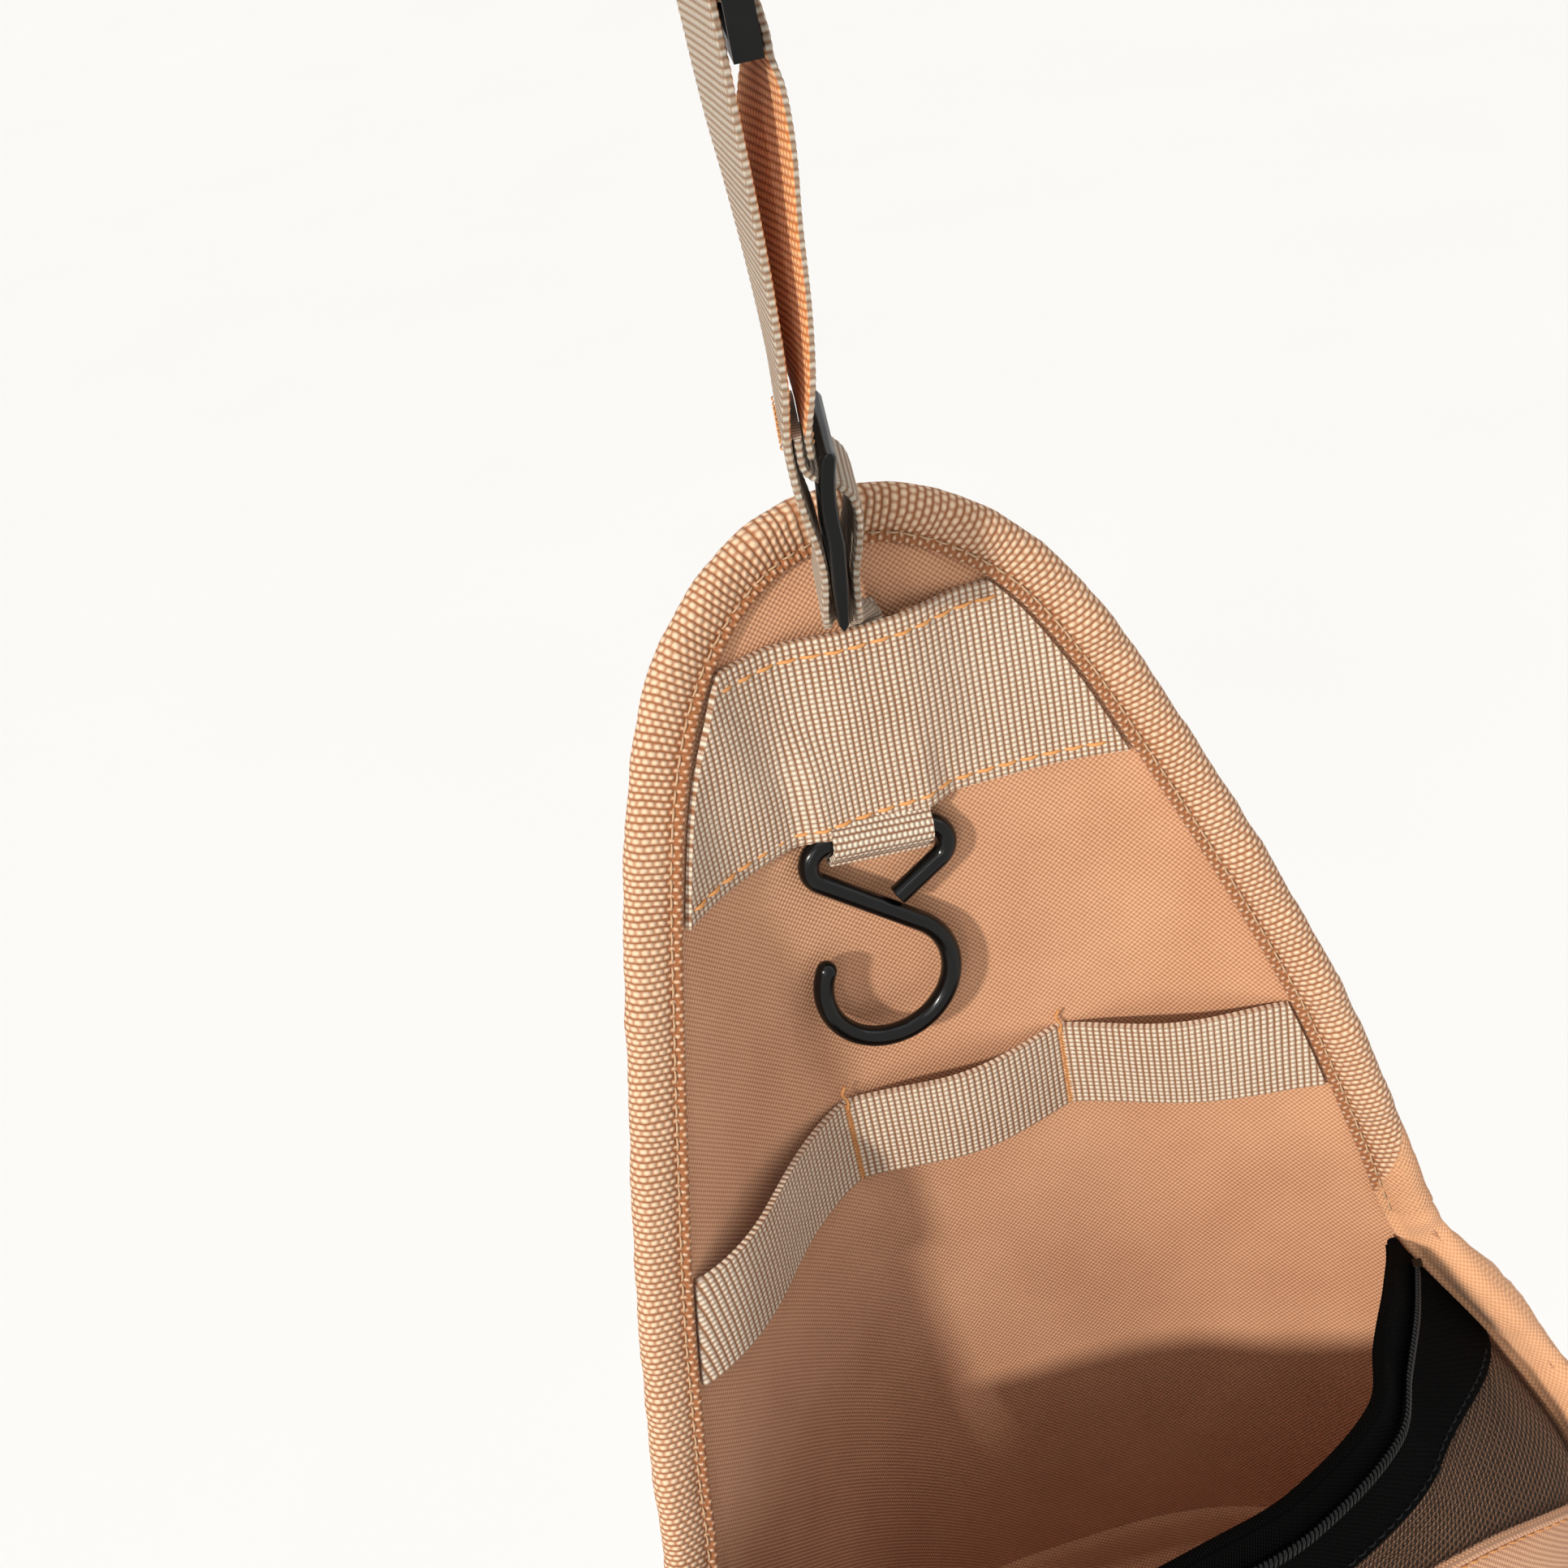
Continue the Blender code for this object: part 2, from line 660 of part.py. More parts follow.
def coil_place(t):
    """Centre of the zip's coil."""
    return wall_point(t, coil_line(t), WALL_T + LAYER_EASE + COIL_R)


def band_bottom(t):
    return COIL_Z - RIM_BAND_DROP - RIM_BAND_SIDE_DROP * side_share(t) ** 6


def mesh_bottom(t):
    return COIL_Z - MESH_FRONT_DROP - MESH_SIDE_DROP * side_share(t) ** 3.1


def wall_foot(t=None):
    return BASE_Z + GAP


def zip_stations():
    """Places along the rim between the ends of the zip, shared by every layer of the wall."""
    return [ZIP_END + (1 - 2 * ZIP_END) * j / WALL_COLUMNS for j in range(WALL_COLUMNS + 1)]


def wall_levels(top, bottom, rows, inner):
    """Heights of a layer's rows at one place, close together above the foot and below the rim."""
    levels = []
    if bottom == wall_foot():
        levels = [bottom + level * MM for level in FOOT_LEVELS]
        bottom = levels.pop()
    ending = [top - level * MM for level in reversed(RIM_LEVELS)] if inner else [top]
    return levels + [bottom + (ending[0] - bottom) * i / rows for i in range(rows)] + ending


def wall_layer(name, top, bottom, offset, thickness, slot, parent, rows, ends=()):
    """Part of the pocket wall between two height functions, as one cloth."""
    stations = [*ends, *zip_stations(), *(1 - t for t in reversed(ends))]
    columns = [wall_levels(top(t), bottom(t), rows, bool(ends)) for t in stations]
    front = []
    back = []
    for heights in zip(*columns):
        front.append([wall_point(t, z, offset + thickness) for t, z in zip(stations, heights)])
        back.append([wall_point(t, z, offset) for t, z in zip(stations, heights)])
    return grid_solid(name, front, back, slot, parent)


def base_piping(foot, offset, parent):
    """Tape over the seam between the wall and the base."""
    levels = [foot] + [wall_foot() + level * MM for level in FOOT_LEVELS[:3]]
    front = [[wall_point(t, z, offset + BINDING_T) for t in zip_stations()] for z in levels]
    back = [[wall_point(t, z, offset) for t in zip_stations()] for z in levels]
    return grid_solid("base_piping", front, back, "beige_webbing", parent)


def base_sheet(name, back_offset, wall_offset, low, thickness, slot, parent):
    """Flat sheet with the pocket's plan at its foot."""
    w = half_width(BASE_Z) - SEAM_INSET
    loop = [panel_point(-w + 2 * w * j / 12, low, back_offset)[:2] for j in range(13)]
    loop += [wall_point(t, BASE_Z, wall_offset)[:2] for t in np.linspace(0.96, 0.04, 25)]
    count = len(loop)
    points = [(x, y, low) for x, y in loop] + [(x, y, low + thickness) for x, y in loop]
    faces = [tuple(range(count)), tuple(range(2 * count - 1, count - 1, -1))]
    faces += [(k, (k + 1) % count, (k + 1) % count + count, k + count) for k in range(count)]
    return add_mesh(name, points, faces, slot, parent)


def zip_coil(parent):
    """Closed coil of the zip, as one rounded bead along the rim."""
    frames = []
    for t in zip_stations():
        frames.append((coil_place(t), wall_out(t, coil_line(t)), UP))
    profile = [
        (COIL_R * math.cos(a), COIL_R * math.sin(a)) for a in np.arange(8) * math.pi / 4
    ]
    return sweep("zip_coil", frames, profile, "black_plastic", parent)


def zip_stop(name, side, parent):
    """Metal clamp at one end of the coil."""
    t = 0.5 + side * (0.5 - ZIP_END + 0.008)
    out = wall_out(t, coil_line(t))
    place = coil_place(t) + STOP_EASE * out
    frame = add_empty(name + "_frame", place, (0, 0, math.atan2(out[1], out[0])), parent)
    half = 0.5 * np.array(STOP_SIZE)
    return box_mesh(name, -half, half, "black_metal", frame)


def pocket(parent):
    """Inner wall, and in front of it the zip with its tapes, the mesh, the lower wall and the base."""
    outer = WALL_T + LAYER_EASE
    base_back = GAP + BINDING_T + GAP
    foot = BASE_Z - GAP - WALL_T
    wall_layer("pocket_wall", rim_top, wall_foot, 0.0, WALL_T, "tan_oxford", parent, 4, (0.012, 0.031))
    wall_layer(
        "zip_tape_upper", rim_top, lambda t: coil_line(t) + COIL_R + GAP, outer, ZIP_TAPE_T,
        "black_tape", parent, 1,
    )
    wall_layer(
        "rim_band", lambda t: coil_line(t) - COIL_R - GAP, band_bottom, outer, TRIM_T,
        "black_tape", parent, 2,
    )
    wall_layer(
        "mesh_panel", lambda t: band_bottom(t) - GAP, mesh_bottom, outer, MESH_T,
        "black_mesh", parent, 3,
    )
    wall_layer(
        "lower_wall", lambda t: mesh_bottom(t) - GAP, wall_foot, outer, WALL_T,
        "tan_oxford", parent, 3,
    )
    base_piping(foot, outer + WALL_T + GAP, parent)
    base_sheet("base_panel", base_back, outer + WALL_T, foot, WALL_T, "tan_oxford", parent)
    base_sheet(
        "base_board", base_back + BOARD_INSET, -BOARD_INSET, BASE_Z + GAP, BOARD_T, "board", parent
    )
    zip_coil(parent)
    zip_stop("zip_top_stop", 1, parent)
    zip_stop("zip_bottom_stop", -1, parent)


# Strap

def webbing_frames(line):
    """Place, width and face direction of webbing along a line of x, y, z in mm and turn in degrees.

    A turn of 0 is webbing whose edge faces the front.
    """
    last = len(line) - 1
    frames = []
    for k, (x, y, z, turn) in enumerate(line):
        a = math.radians(turn)
        side = np.array([math.sin(a), math.cos(a), 0.0])
        normal = np.cross((line[min(k + 1, last)] - line[max(k - 1, 0)])[:3], side)
        frames.append((np.array([x, y, z]) * MM, side, normal / np.linalg.norm(normal)))
    return frames


def follow(knots):
    """Frames along smooth knots, closer together where the webbing bends or twists."""
    line = smooth_curve(knots, FINE_STEPS)
    step = np.diff(line[:, :3], axis=0)
    length = np.linalg.norm(step, axis=1)
    heading = step / length[:, None]
    bend = np.degrees(np.arccos(np.clip((heading[1:] * heading[:-1]).sum(axis=1), -1, 1)))
    effort = length / STATION_LENGTH + np.r_[0, bend] / STATION_BEND
    effort += np.abs(np.diff(line[:, 3])) / STATION_BEND
    total = np.r_[0, np.cumsum(effort)]
    count = int(math.ceil(total[-1])) + 1
    at = np.interp(np.linspace(0, total[-1], count), total, np.arange(FINE_STEPS))
    picked = [[np.interp(k, range(FINE_STEPS), line[:, i]) for i in range(4)] for k in at]
    return webbing_frames(np.array(picked))


def ribbon(name, frames, parent):
    """Flat webbing along frames of place, width direction and face direction."""
    top = []
    bottom = []
    for place, side, normal in frames:
        across_row = [place + side * STRAP_W * u for u in (-0.5, 0, 0.5)]
        top.append([p + normal * STRAP_T / 2 for p in across_row])
        bottom.append([p - normal * STRAP_T / 2 for p in across_row])
    return grid_solid(name, top, bottom, "beige_webbing", parent)


def twist(side):
    """Lower end of the strap: flat behind the wide band, then twisted edge-on, one layer a side.

    The side is 1 for the layer left of the lock and -1 for the one right of it.
    """
    apart = (STRAP_T + GAP) / MM
    x, y, _ = seat_point(0, 0, 2.5 * GAP + STRAP_T) / MM
    flat = seat_turn()
    middle = smooth_curve([
        (x, y, STRAP_TUCK_Z / MM, flat, apart),
        (x, y, 0.5 * (STRAP_TUCK_Z + STRAP_EXIT_Z) / MM, flat, apart),
        (x, y, STRAP_EXIT_Z / MM, flat, apart),
        (-4.3, -5.8, 54.5, 84, apart),
        (-5.6, -10.2, 57.8, 61, apart + 0.6),
        (-7.0, -15.4, 61, 36, apart + 2.4),
        (-7.7, -19.2, 64.3, 22, apart + 4.4),
        (-7.7, STRAP_Y / MM, 68.5, STRAP_TURN, apart + 4.6),
    ], TWIST_STATIONS)
    frames = webbing_frames(middle[:, :4])
    return [
        (place + side * 0.5 * gap * MM * normal, across_web, normal)
        for (place, across_web, normal), gap in zip(frames, middle[:, 4])
    ]


def strand(side, knots):
    """Twisted lower end and the knots that follow it, as one run of webbing."""
    start = twist(side)
    place, _, _ = start[-1]
    return start + follow([(*(place / MM), STRAP_TURN), *knots])[1:]


def stitch_x(layer):
    """Middle of a layer at the stitched joint: 0 the left strand, 1 the fold, 2 the right strand."""
    return -12.0 + layer * (STRAP_T + GAP) / MM


def bar_z(upper):
    """Height in mm of the webbing bar in the female half, or in the male one."""
    if upper:
        return (FEMALE_TOP_Z - CROSSPIECE - 0.5 * BAR_WINDOW) / MM
    return (MALE_Z + CROSSPIECE + 0.5 * BAR_WINDOW) / MM


def bar_wrap(upper):
    """Half turn of webbing round a buckle bar, from its right side to its left."""
    wrap = (BAR_T / math.sqrt(2) + GAP + STRAP_T / 2) / MM
    wide = wrap / math.cos(math.radians(BUCKLE_TURN))
    sign = -1 if upper else 1
    points = []
    for angle in (0, 45, 90, 135, 180):
        a = math.radians(angle)
        x = BUCKLE_X / MM + wide * math.cos(a)
        points.append((x, STRAP_Y / MM, bar_z(upper) + sign * wrap * math.sin(a), BUCKLE_TURN))
    return points


def beside(thickness):
    """Middle in mm of webbing that passes a buckle crosspiece of that thickness on its right."""
    return (BUCKLE_X + thickness / 2 + GAP + STRAP_T / 2) / MM


def loop_knots():
    """Left strand from behind the wide band, over the support, to the bar of the upper half."""
    y = STRAP_Y / MM
    arch = (SUPPORT_R + STRAP_T / 2) / MM
    arch_x = LOOP_ARCH_X / MM
    arch_z = (LOOP_TOP_Z - SUPPORT_R) / MM
    knots = [
        (-10.4, y, 77, STRAP_TURN),
        (-10.9, y, 84, STRAP_TURN),
        (-11.7, y, 91, STRAP_TURN),
        (stitch_x(0), y, STITCH_LOW_Z / MM - 3, STRAP_TURN),
        (stitch_x(0), y, STITCH_HIGH_Z / MM, STRAP_TURN),
        (-11.1, y, 117, 18.5),
        (-10.9, y, 133, 17.5),
        (-11.3, y, 150, 15.5),
        (-11.9, y, 164, 13),
        (-12.3, y, 182, 12),
        (-12.9, y, 205, 12),
        (-13.9, y, 226, 12),
        (arch_x - arch, y, arch_z - 4, 12),
    ]
    for angle in (180, 150, 120, 90, 60, 30, 0):
        a = math.radians(angle)
        turn = 12 + (BUCKLE_TURN - 12) * (180 - angle) / 180
        knots.append((arch_x + arch * math.cos(a), y, arch_z + arch * math.sin(a), turn))
    foot = (FEMALE_TOP_Z - CROSSPIECE) / MM
    knots.append((beside(BUCKLE_T) + 0.3, y, FEMALE_TOP_Z / MM + 1, BUCKLE_TURN))
    knots.append((beside(BUCKLE_T) + 0.3, y, foot + 1, BUCKLE_TURN))
    return knots + bar_wrap(True)


def right_knots():
    """Right strand from the stitched joint up to the bar of the lower half."""
    y = STRAP_Y / MM
    foot = (MALE_Z + CROSSPIECE) / MM
    return [
        (stitch_x(2), y, STITCH_LOW_Z / MM + 1, STRAP_TURN),
        (stitch_x(2), y, STITCH_HIGH_Z / MM - 1, STRAP_TURN),
        (-6.7, y, 116, 19),
        (-6.1, y, 132, 18),
        (-5.3, y, 148, 18),
        (-3.6, y, 163, 18),
        (beside(MALE_T) + 0.2, y, MALE_Z / MM - 1, BUCKLE_TURN),
        (beside(MALE_T) + 0.2, y, foot - 1, BUCKLE_TURN),
    ] + bar_wrap(False)


def fold_knots():
    """Right layer of the lower webbing: up beside the lock, left through its slot, into the joint."""
    y = STRAP_Y / MM
    return [
        (-3.4, y, 75.5, STRAP_TURN),
        (-2.0, y, 80, STRAP_TURN),
        (-0.5, y, 86.5, STRAP_TURN),
        (-1.0, y, 91, STRAP_TURN),
        (-2.9, y, 94.0, STRAP_TURN),
        (-5.6, y, 96.3, STRAP_TURN),
        (-8.4, y, 98.4, STRAP_TURN),
        (stitch_x(1), y, STITCH_LOW_Z / MM, STRAP_TURN),
        (stitch_x(1), y, STITCH_HIGH_Z / MM, STRAP_TURN),
    ]


def ladder_lock(parent):
    """Moulded frame with two slots and a thumb end, its side profile a shallow wave."""
    top_x, top_z = LOCK_TOP
    low_x, low_z = LOCK_BOTTOM
    lean = math.atan2(top_x - low_x, top_z - low_z)
    frame = add_empty(
        "lock_frame", (top_x * MM, STRAP_Y, top_z * MM), (0, lean, -math.radians(STRAP_TURN)), parent
    )
    _, first, second, third, fourth, length = LOCK_BARS
    slots = ((first, second), (third, fourth))
    downs = sorted({*LOCK_BARS, (first + second) / 2, (third + fourth) / 2, fourth + 4, length - 3})
    half = 0.5 * LOCK_W
    widths = (-half, LOCK_RAIL - half, 0, half - LOCK_RAIL, half)
    front = []
    back = []
    holes = set()
    for i, down in enumerate(downs):
        along = down / length
        wave = -LOCK_WAVE * math.sin(math.pi * min(along / 0.5, 2 - along / 0.5))
        thick = LOCK_T * (1 - 0.35 * share(along, 0.75, 1))
        front.append([(wave * (along < 0.5) - thick / 2, y, -down * MM) for y in widths])
        back.append([(wave * (along < 0.5) + thick / 2, y, -down * MM) for y in widths])
        if any(low < down <= high for low, high in slots):
            holes |= {(i - 1, 1), (i - 1, 2)}
    lock = grid_solid("ladder_lock", front, back, "black_plastic", frame, holes)
    soften(lock, 0.4 * MM)
    return lock


def soften(obj, width):
    bevel = obj.modifiers.new("soft_edges", "BEVEL")
    bevel.width = width
    bevel.segments = 1
    bevel.limit_method = "ANGLE"
    bevel.angle_limit = math.radians(50)


def box_mesh(name, low, high, slot, parent):
    corners = [(x, y, z) for x in (low[0], high[0]) for y in (low[1], high[1]) for z in (low[2], high[2])]
    faces = [(0, 1, 3, 2), (4, 6, 7, 5), (0, 4, 5, 1), (2, 3, 7, 6), (0, 2, 6, 4), (1, 5, 7, 3)]
    return add_mesh(name, corners, faces, slot, parent)


def combine(obj, name, low, high, operation):
    """Adds a box to a solid or cuts it away."""
    tool = box_mesh(name, low, high, "black_plastic", obj.parent)
    tool.hide_render = True
    tool.display_type = "WIRE"
    step = obj.modifiers.new(name, "BOOLEAN")
    step.operation = operation
    step.object = tool
    step.solver = "EXACT"


def webbing_window(obj, name, half_t, upper):
    """Cuts the window that webbing passes through and leaves a bar across it."""
    middle = bar_z(upper) * MM
    half_w = BUCKLE_W / 2 - BAR_RAIL
    low, high = middle - BAR_WINDOW / 2, middle + BAR_WINDOW / 2
    past = 1 * MM
    combine(
        obj, "cut_" + name, (-half_t - past, -half_w, low), (half_t + past, half_w, high), "DIFFERENCE"
    )
    combine(
        obj, name + "_bar", (-BAR_T / 2, -half_w - past, middle - BAR_T / 2),
        (BAR_T / 2, half_w + past, middle + BAR_T / 2), "UNION",
    )


def buckle(parent):
    """Side-release buckle: X is its thickness, Y its width, Z runs along the strap."""
    frame = add_empty(
        "buckle_frame", (BUCKLE_X, STRAP_Y, 0), (0, 0, -math.radians(BUCKLE_TURN)), parent
    )
    half_w = BUCKLE_W / 2
    half_t = BUCKLE_T / 2
    room_w = half_w - BUCKLE_WALL
    room_t = half_t - BUCKLE_WALL
    room_top = MOUTH_Z + PRONG_L + 2 * MM
    past = 1 * MM
    female = box_mesh(
        "buckle_female", (-half_t, -half_w, MOUTH_Z), (half_t, half_w, FEMALE_TOP_Z),
        "black_plastic", frame,
    )
    combine(
        female, "cut_female_room", (-room_t, -room_w, MOUTH_Z - past), (room_t, room_w, room_top),
        "DIFFERENCE",
    )
    combine(
        female, "cut_female_sides", (-room_t, -half_w - past, MOUTH_Z + 0.4 * PRONG_L),
        (room_t, half_w + past, room_top), "DIFFERENCE",
    )
    webbing_window(female, "female_window", half_t, True)

    male = box_mesh(
        "buckle_male", (-MALE_T / 2, -half_w, MALE_Z), (MALE_T / 2, half_w, MOUTH_Z - GAP),
        "black_plastic", frame,
    )
    webbing_window(male, "male_window", MALE_T / 2, False)
    arm = room_t - GAP
    combine(
        male, "male_tongue", (-arm, -TONGUE_W / 2, MOUTH_Z - 1.2 * MM),
        (arm, TONGUE_W / 2, MOUTH_Z + PRONG_L - 1 * MM), "UNION",
    )
    for name, side in (("prong_near", -1), ("prong_far", 1)):
        prong(name, side, room_w - GAP - PRONG_W / 2, arm, frame)


def prong(name, side, middle, arm, frame):
    """One springy arm of the male half, with its barb in the housing's side opening."""
    pivot = add_empty(name + "_pivot", (0, side * middle, MOUTH_Z), (0, 0, 0), frame)
    half = PRONG_W / 2
    outline = [
        (-half, 0), (half * 0.6, 0), (half * 0.3, 0.4 * PRONG_L), (half, 0.5 * PRONG_L),
        (half, 0.8 * PRONG_L), (half * 0.2, PRONG_L), (-half * 0.4, PRONG_L), (-half, 0.8 * PRONG_L),
    ]
    points = [(x, side * u, z) for x in (-arm, arm) for u, z in outline]
    count = len(outline)
    faces = [tuple(range(count)), tuple(range(2 * count - 1, count - 1, -1))]
    faces += [(k, (k + 1) % count, (k + 1) % count + count, k + count) for k in range(count)]
    return add_mesh(name, points, faces, "black_plastic", pivot)


# Zip slider and its pull

def slider(parent):
    """Slider plate over the coil, with a bridge for the pull; X points out, Y along the zip."""
    place = coil_place(SLIDER_PLACE)
    step = 0.01
    run = coil_place(SLIDER_PLACE + step) - coil_place(SLIDER_PLACE - step)
    heading = math.atan2(run[1], run[0]) - math.pi / 2
    climb = math.atan2(run[2], math.hypot(run[0], run[1]))
    frame = add_empty("slider_frame", place, (climb, 0, heading), parent)
    low = -COIL_R - SLIDER_EASE - SLIDER_T
    high = -COIL_R - SLIDER_EASE
    body = box_mesh(
        "zip_slider", (-high, -SLIDER_L / 2, -SLIDER_W / 2), (-low, SLIDER_L / 2, SLIDER_W / 2),
        "black_metal", frame,
    )
    face = -low
    combine(
        body, "slider_bridge", (face - 0.2 * MM, -0.30 * SLIDER_L, -BRIDGE_W / 2),
        (face + BRIDGE_H, 0.30 * SLIDER_L, BRIDGE_W / 2), "UNION",
    )
    combine(
        body, "cut_slider_eye", (face, -0.18 * SLIDER_L, -BRIDGE_W), (face + EYE_H, 0.18 * SLIDER_L, BRIDGE_W),
        "DIFFERENCE",
    )
    pull(add_empty("pull_pivot", (face + EYE_H / 2, 0, 0), (0, 0, 0), frame))


def pull(hinge):
    """Pull tab: a plate with a window at one end, whose end bar passes through the slider's bridge."""
    half_t = PULL_T / 2
    half_w = PULL_W / 2
    past = 1 * MM
    arm = BRIDGE_W / 2 + 2 * GAP
    window = 0.30 * SLIDER_L + EYE_H
    obj = box_mesh(
        "zip_pull", (-half_t, -half_t, -half_w), (half_t, PULL_L, half_w), "black_metal", hinge
    )
    combine(
        obj, "cut_pull_window", (-half_t - past, half_t, -arm), (half_t + past, window, arm), "DIFFERENCE"
    )
    combine(
        obj, "cut_pull_hole", (-half_t - past, PULL_L - 5 * MM, -1.1 * MM),
        (half_t + past, PULL_L - 2 * MM, 1.1 * MM), "DIFFERENCE",
    )


def build():
    clear_scene()
    panel = add_empty("panel_frame", (-LOOP_ARCH_X, -STRAP_Y, -LOOP_TOP_Z))
    panel_layer("back_lining", 0.0, LINING_T, "tan_oxford", panel)
    panel_layer("back_foam", -LINING_T - GAP, FOAM_T, "foam", panel)
    panel_layer("back_cover", -LINING_T - FOAM_T - 2 * GAP, COVER_T, "tan_oxford", panel)
    edge_binding(panel)
    wide_band(panel)
    utensil_band(panel)
    hook_tab(panel)
    s_hook(panel)
    pocket(panel)
    ribbon("strap_loop", strand(1, loop_knots()), panel)
    ribbon("strap_right", follow(right_knots()), panel)
    ribbon("strap_fold", strand(-1, fold_knots()), panel)
    ladder_lock(panel)
    buckle(panel)
    slider(panel)


build()
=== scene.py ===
"""Dresses the hanging utensil bag: woven cloth, ribbed webbing, bound edge, zip, mesh and fittings."""

from math import atan2, cos, degrees, exp, pi, radians, sin, sqrt, tan

import bmesh
import bpy
import numpy as np
from mathutils import Matrix, Vector

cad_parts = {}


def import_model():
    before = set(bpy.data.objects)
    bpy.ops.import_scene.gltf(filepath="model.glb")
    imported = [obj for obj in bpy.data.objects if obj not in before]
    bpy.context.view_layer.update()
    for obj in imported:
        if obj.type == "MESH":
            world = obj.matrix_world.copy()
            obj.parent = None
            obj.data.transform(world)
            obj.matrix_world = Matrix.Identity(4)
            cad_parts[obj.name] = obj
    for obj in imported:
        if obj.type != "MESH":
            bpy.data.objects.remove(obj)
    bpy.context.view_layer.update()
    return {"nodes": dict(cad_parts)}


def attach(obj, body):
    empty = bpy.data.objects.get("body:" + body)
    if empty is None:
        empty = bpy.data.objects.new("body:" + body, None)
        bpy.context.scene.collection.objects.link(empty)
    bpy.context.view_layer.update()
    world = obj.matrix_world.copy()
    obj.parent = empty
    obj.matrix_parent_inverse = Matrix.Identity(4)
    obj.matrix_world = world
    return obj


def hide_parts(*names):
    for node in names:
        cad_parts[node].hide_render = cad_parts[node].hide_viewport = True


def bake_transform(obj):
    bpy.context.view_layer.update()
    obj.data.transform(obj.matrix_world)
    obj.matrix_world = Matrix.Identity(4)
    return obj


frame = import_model()

MM = 0.001
GAP = 0.3 * MM
PANEL_AT = np.array([8.0, 20.0, -256.0]) * MM  # the panel's own frame
UP = np.array([0.0, 0.0, 1.0])

# Sizes shared with the solids
LINING_T = 0.8 * MM
FOAM_T = 2.2 * MM
COVER_T = 0.8 * MM
BINDING_T = 1.0 * MM
STRAP_T = 1.8 * MM
BAND_T = 1.4 * MM
TAB_T = 1.2 * MM
WALL_T = 0.9 * MM
TRIM_T = 0.8 * MM
MESH_T = 0.8 * MM
ZIP_TAPE_T = 0.6 * MM
SECTION_BENDS = (
    (-160, 56), (-125, 46), (-95, 40), (-65, 42), (-35, 19), (0, -10),
    (35, -14), (65, -32), (95, -45), (125, -58), (160, -58),
)
BELL_OUTLINE = (
    (-272, 132), (-269, 144), (-260, 154), (-242, 161), (-210, 157), (-178, 138), (-150, 114),
    (-120, 104.5), (-80, 92.5), (-40, 77), (0, 60), (25, 49), (45, 37.5), (57, 26), (64.5, 14), (67, 5),
)
BINDING_REACH = 11.0 * MM
BINDING_FOLD = 1.2 * MM
BINDING_BACK_LIP = 2.4 * MM
LEFT_LEAN = ((-190, 0), (-150, -24), (-120, -34), (0, -38), (25, -40), (40, -28), (54, -8), (67, 4))
RIGHT_LEAN = ((35, 0), (55, 8), (67, 12))
WIDE_BAND_H = 50 * MM
UTENSIL_BAND_H = 25 * MM
UTENSIL_BAND_TOP = -76 * MM
BAND_END_INSET = 1.2 * MM
SEAM_LEFT = -25 * MM
SEAM_RIGHT = 33 * MM
SLOT_DEPTHS = (6.5 * MM, 8 * MM, 8 * MM)
SLOT_LEANS = (0.7, 1.0, 1.0)  # above 1 the slot stands out most towards its right-hand seam
TAB_S = -3 * MM
TAB_W = 23.6 * MM
TAB_TUCK = 14 * MM
TAB_DROP = 10 * MM
TAB_FOLD_R = 2 * MM
HOOK_WIRE = 5 * MM
HOOK_S = -0.5 * MM
HOOK_Z = -3.5 * MM
HOOK_TILT = radians(-8.5)
HOOK_SWING = radians(3)
HOOK_EYE_RADIUS = 5.2 * MM
HOOK_EYE_SPAN = 23 * MM
HOOK_EYE_TURN = 147
HOOK_RETURN_TURN = 143
HOOK_RETURN = 13 * MM
HOOK_SHANK = 28.8 * MM
HOOK_BOWL_RADIUS = 16 * MM
HOOK_BOWL_TURN = 257
RIM_Z = -139 * MM
RIM_END_Z = -150 * MM
COIL_Z = -147 * MM
BASE_Z = BELL_OUTLINE[0][0] * MM - BINDING_REACH - BINDING_FOLD - GAP
POCKET_FRONT = ((-284, 98), (-258, 115), (-228, 125), (-195, 126), (-165, 119), (-139, 112))
RIM_PLAN = ((-1, 0), (-0.91, 0.2), (-0.82, 0.4), (-0.69, 0.62), (-0.56, 0.83), (-0.24, 0.985), (0, 1))
FULL_PLAN_Z = -200 * MM
SEAM_INSET = 2.5 * MM
LAYER_EASE = 1.0 * MM
ZIP_END = 0.05
TAPE_END = 0.014
INNER_END = 0.012
ROLL_END = 0.015
FACING_END = 0.02
OUTER_WALL = WALL_T + LAYER_EASE  # inner side of the pocket's outer layers
RIM_BAND_DROP = 16 * MM
RIM_BAND_SIDE_DROP = 12 * MM
MESH_FRONT_DROP = 27 * MM
MESH_SIDE_DROP = 45 * MM
PIPING_H = 10 * MM
BASE_BACK = GAP + BINDING_T + GAP  # from the panel to the base
STRAP_W = 25 * MM
STRAP_Y = -20 * MM
LOOP_ARCH_X = -8 * MM
LOOP_TOP_Z = 256 * MM
SUPPORT_R = 8 * MM
STRAP_TUCK_Z = 22 * MM
STRAP_EXIT_Z = 50.5 * MM
STRAP_TURN = 20
ARCH_TURN = 12
STRAP_FOOT_S = 3.4 * MM
STRAP_FOOT_WIDTH = 0.34  # the webbing is pinched where it comes out from behind the band
PINCH_TOP_Z = 55.5 * MM
PINCH_RAMP = 13 * MM
STITCH_LOW_Z = 101 * MM
STITCH_HIGH_Z = 107 * MM
LOCK_W = 33 * MM
LOCK_T = 3.2 * MM
LOCK_RAIL = 2.6 * MM
LOCK_TOP = (-4.3, 103.7)
LOCK_BOTTOM = (-7.8, 66.0)
LOCK_BARS = (0, 4, 14.5, 18.5, 28, 37.9)
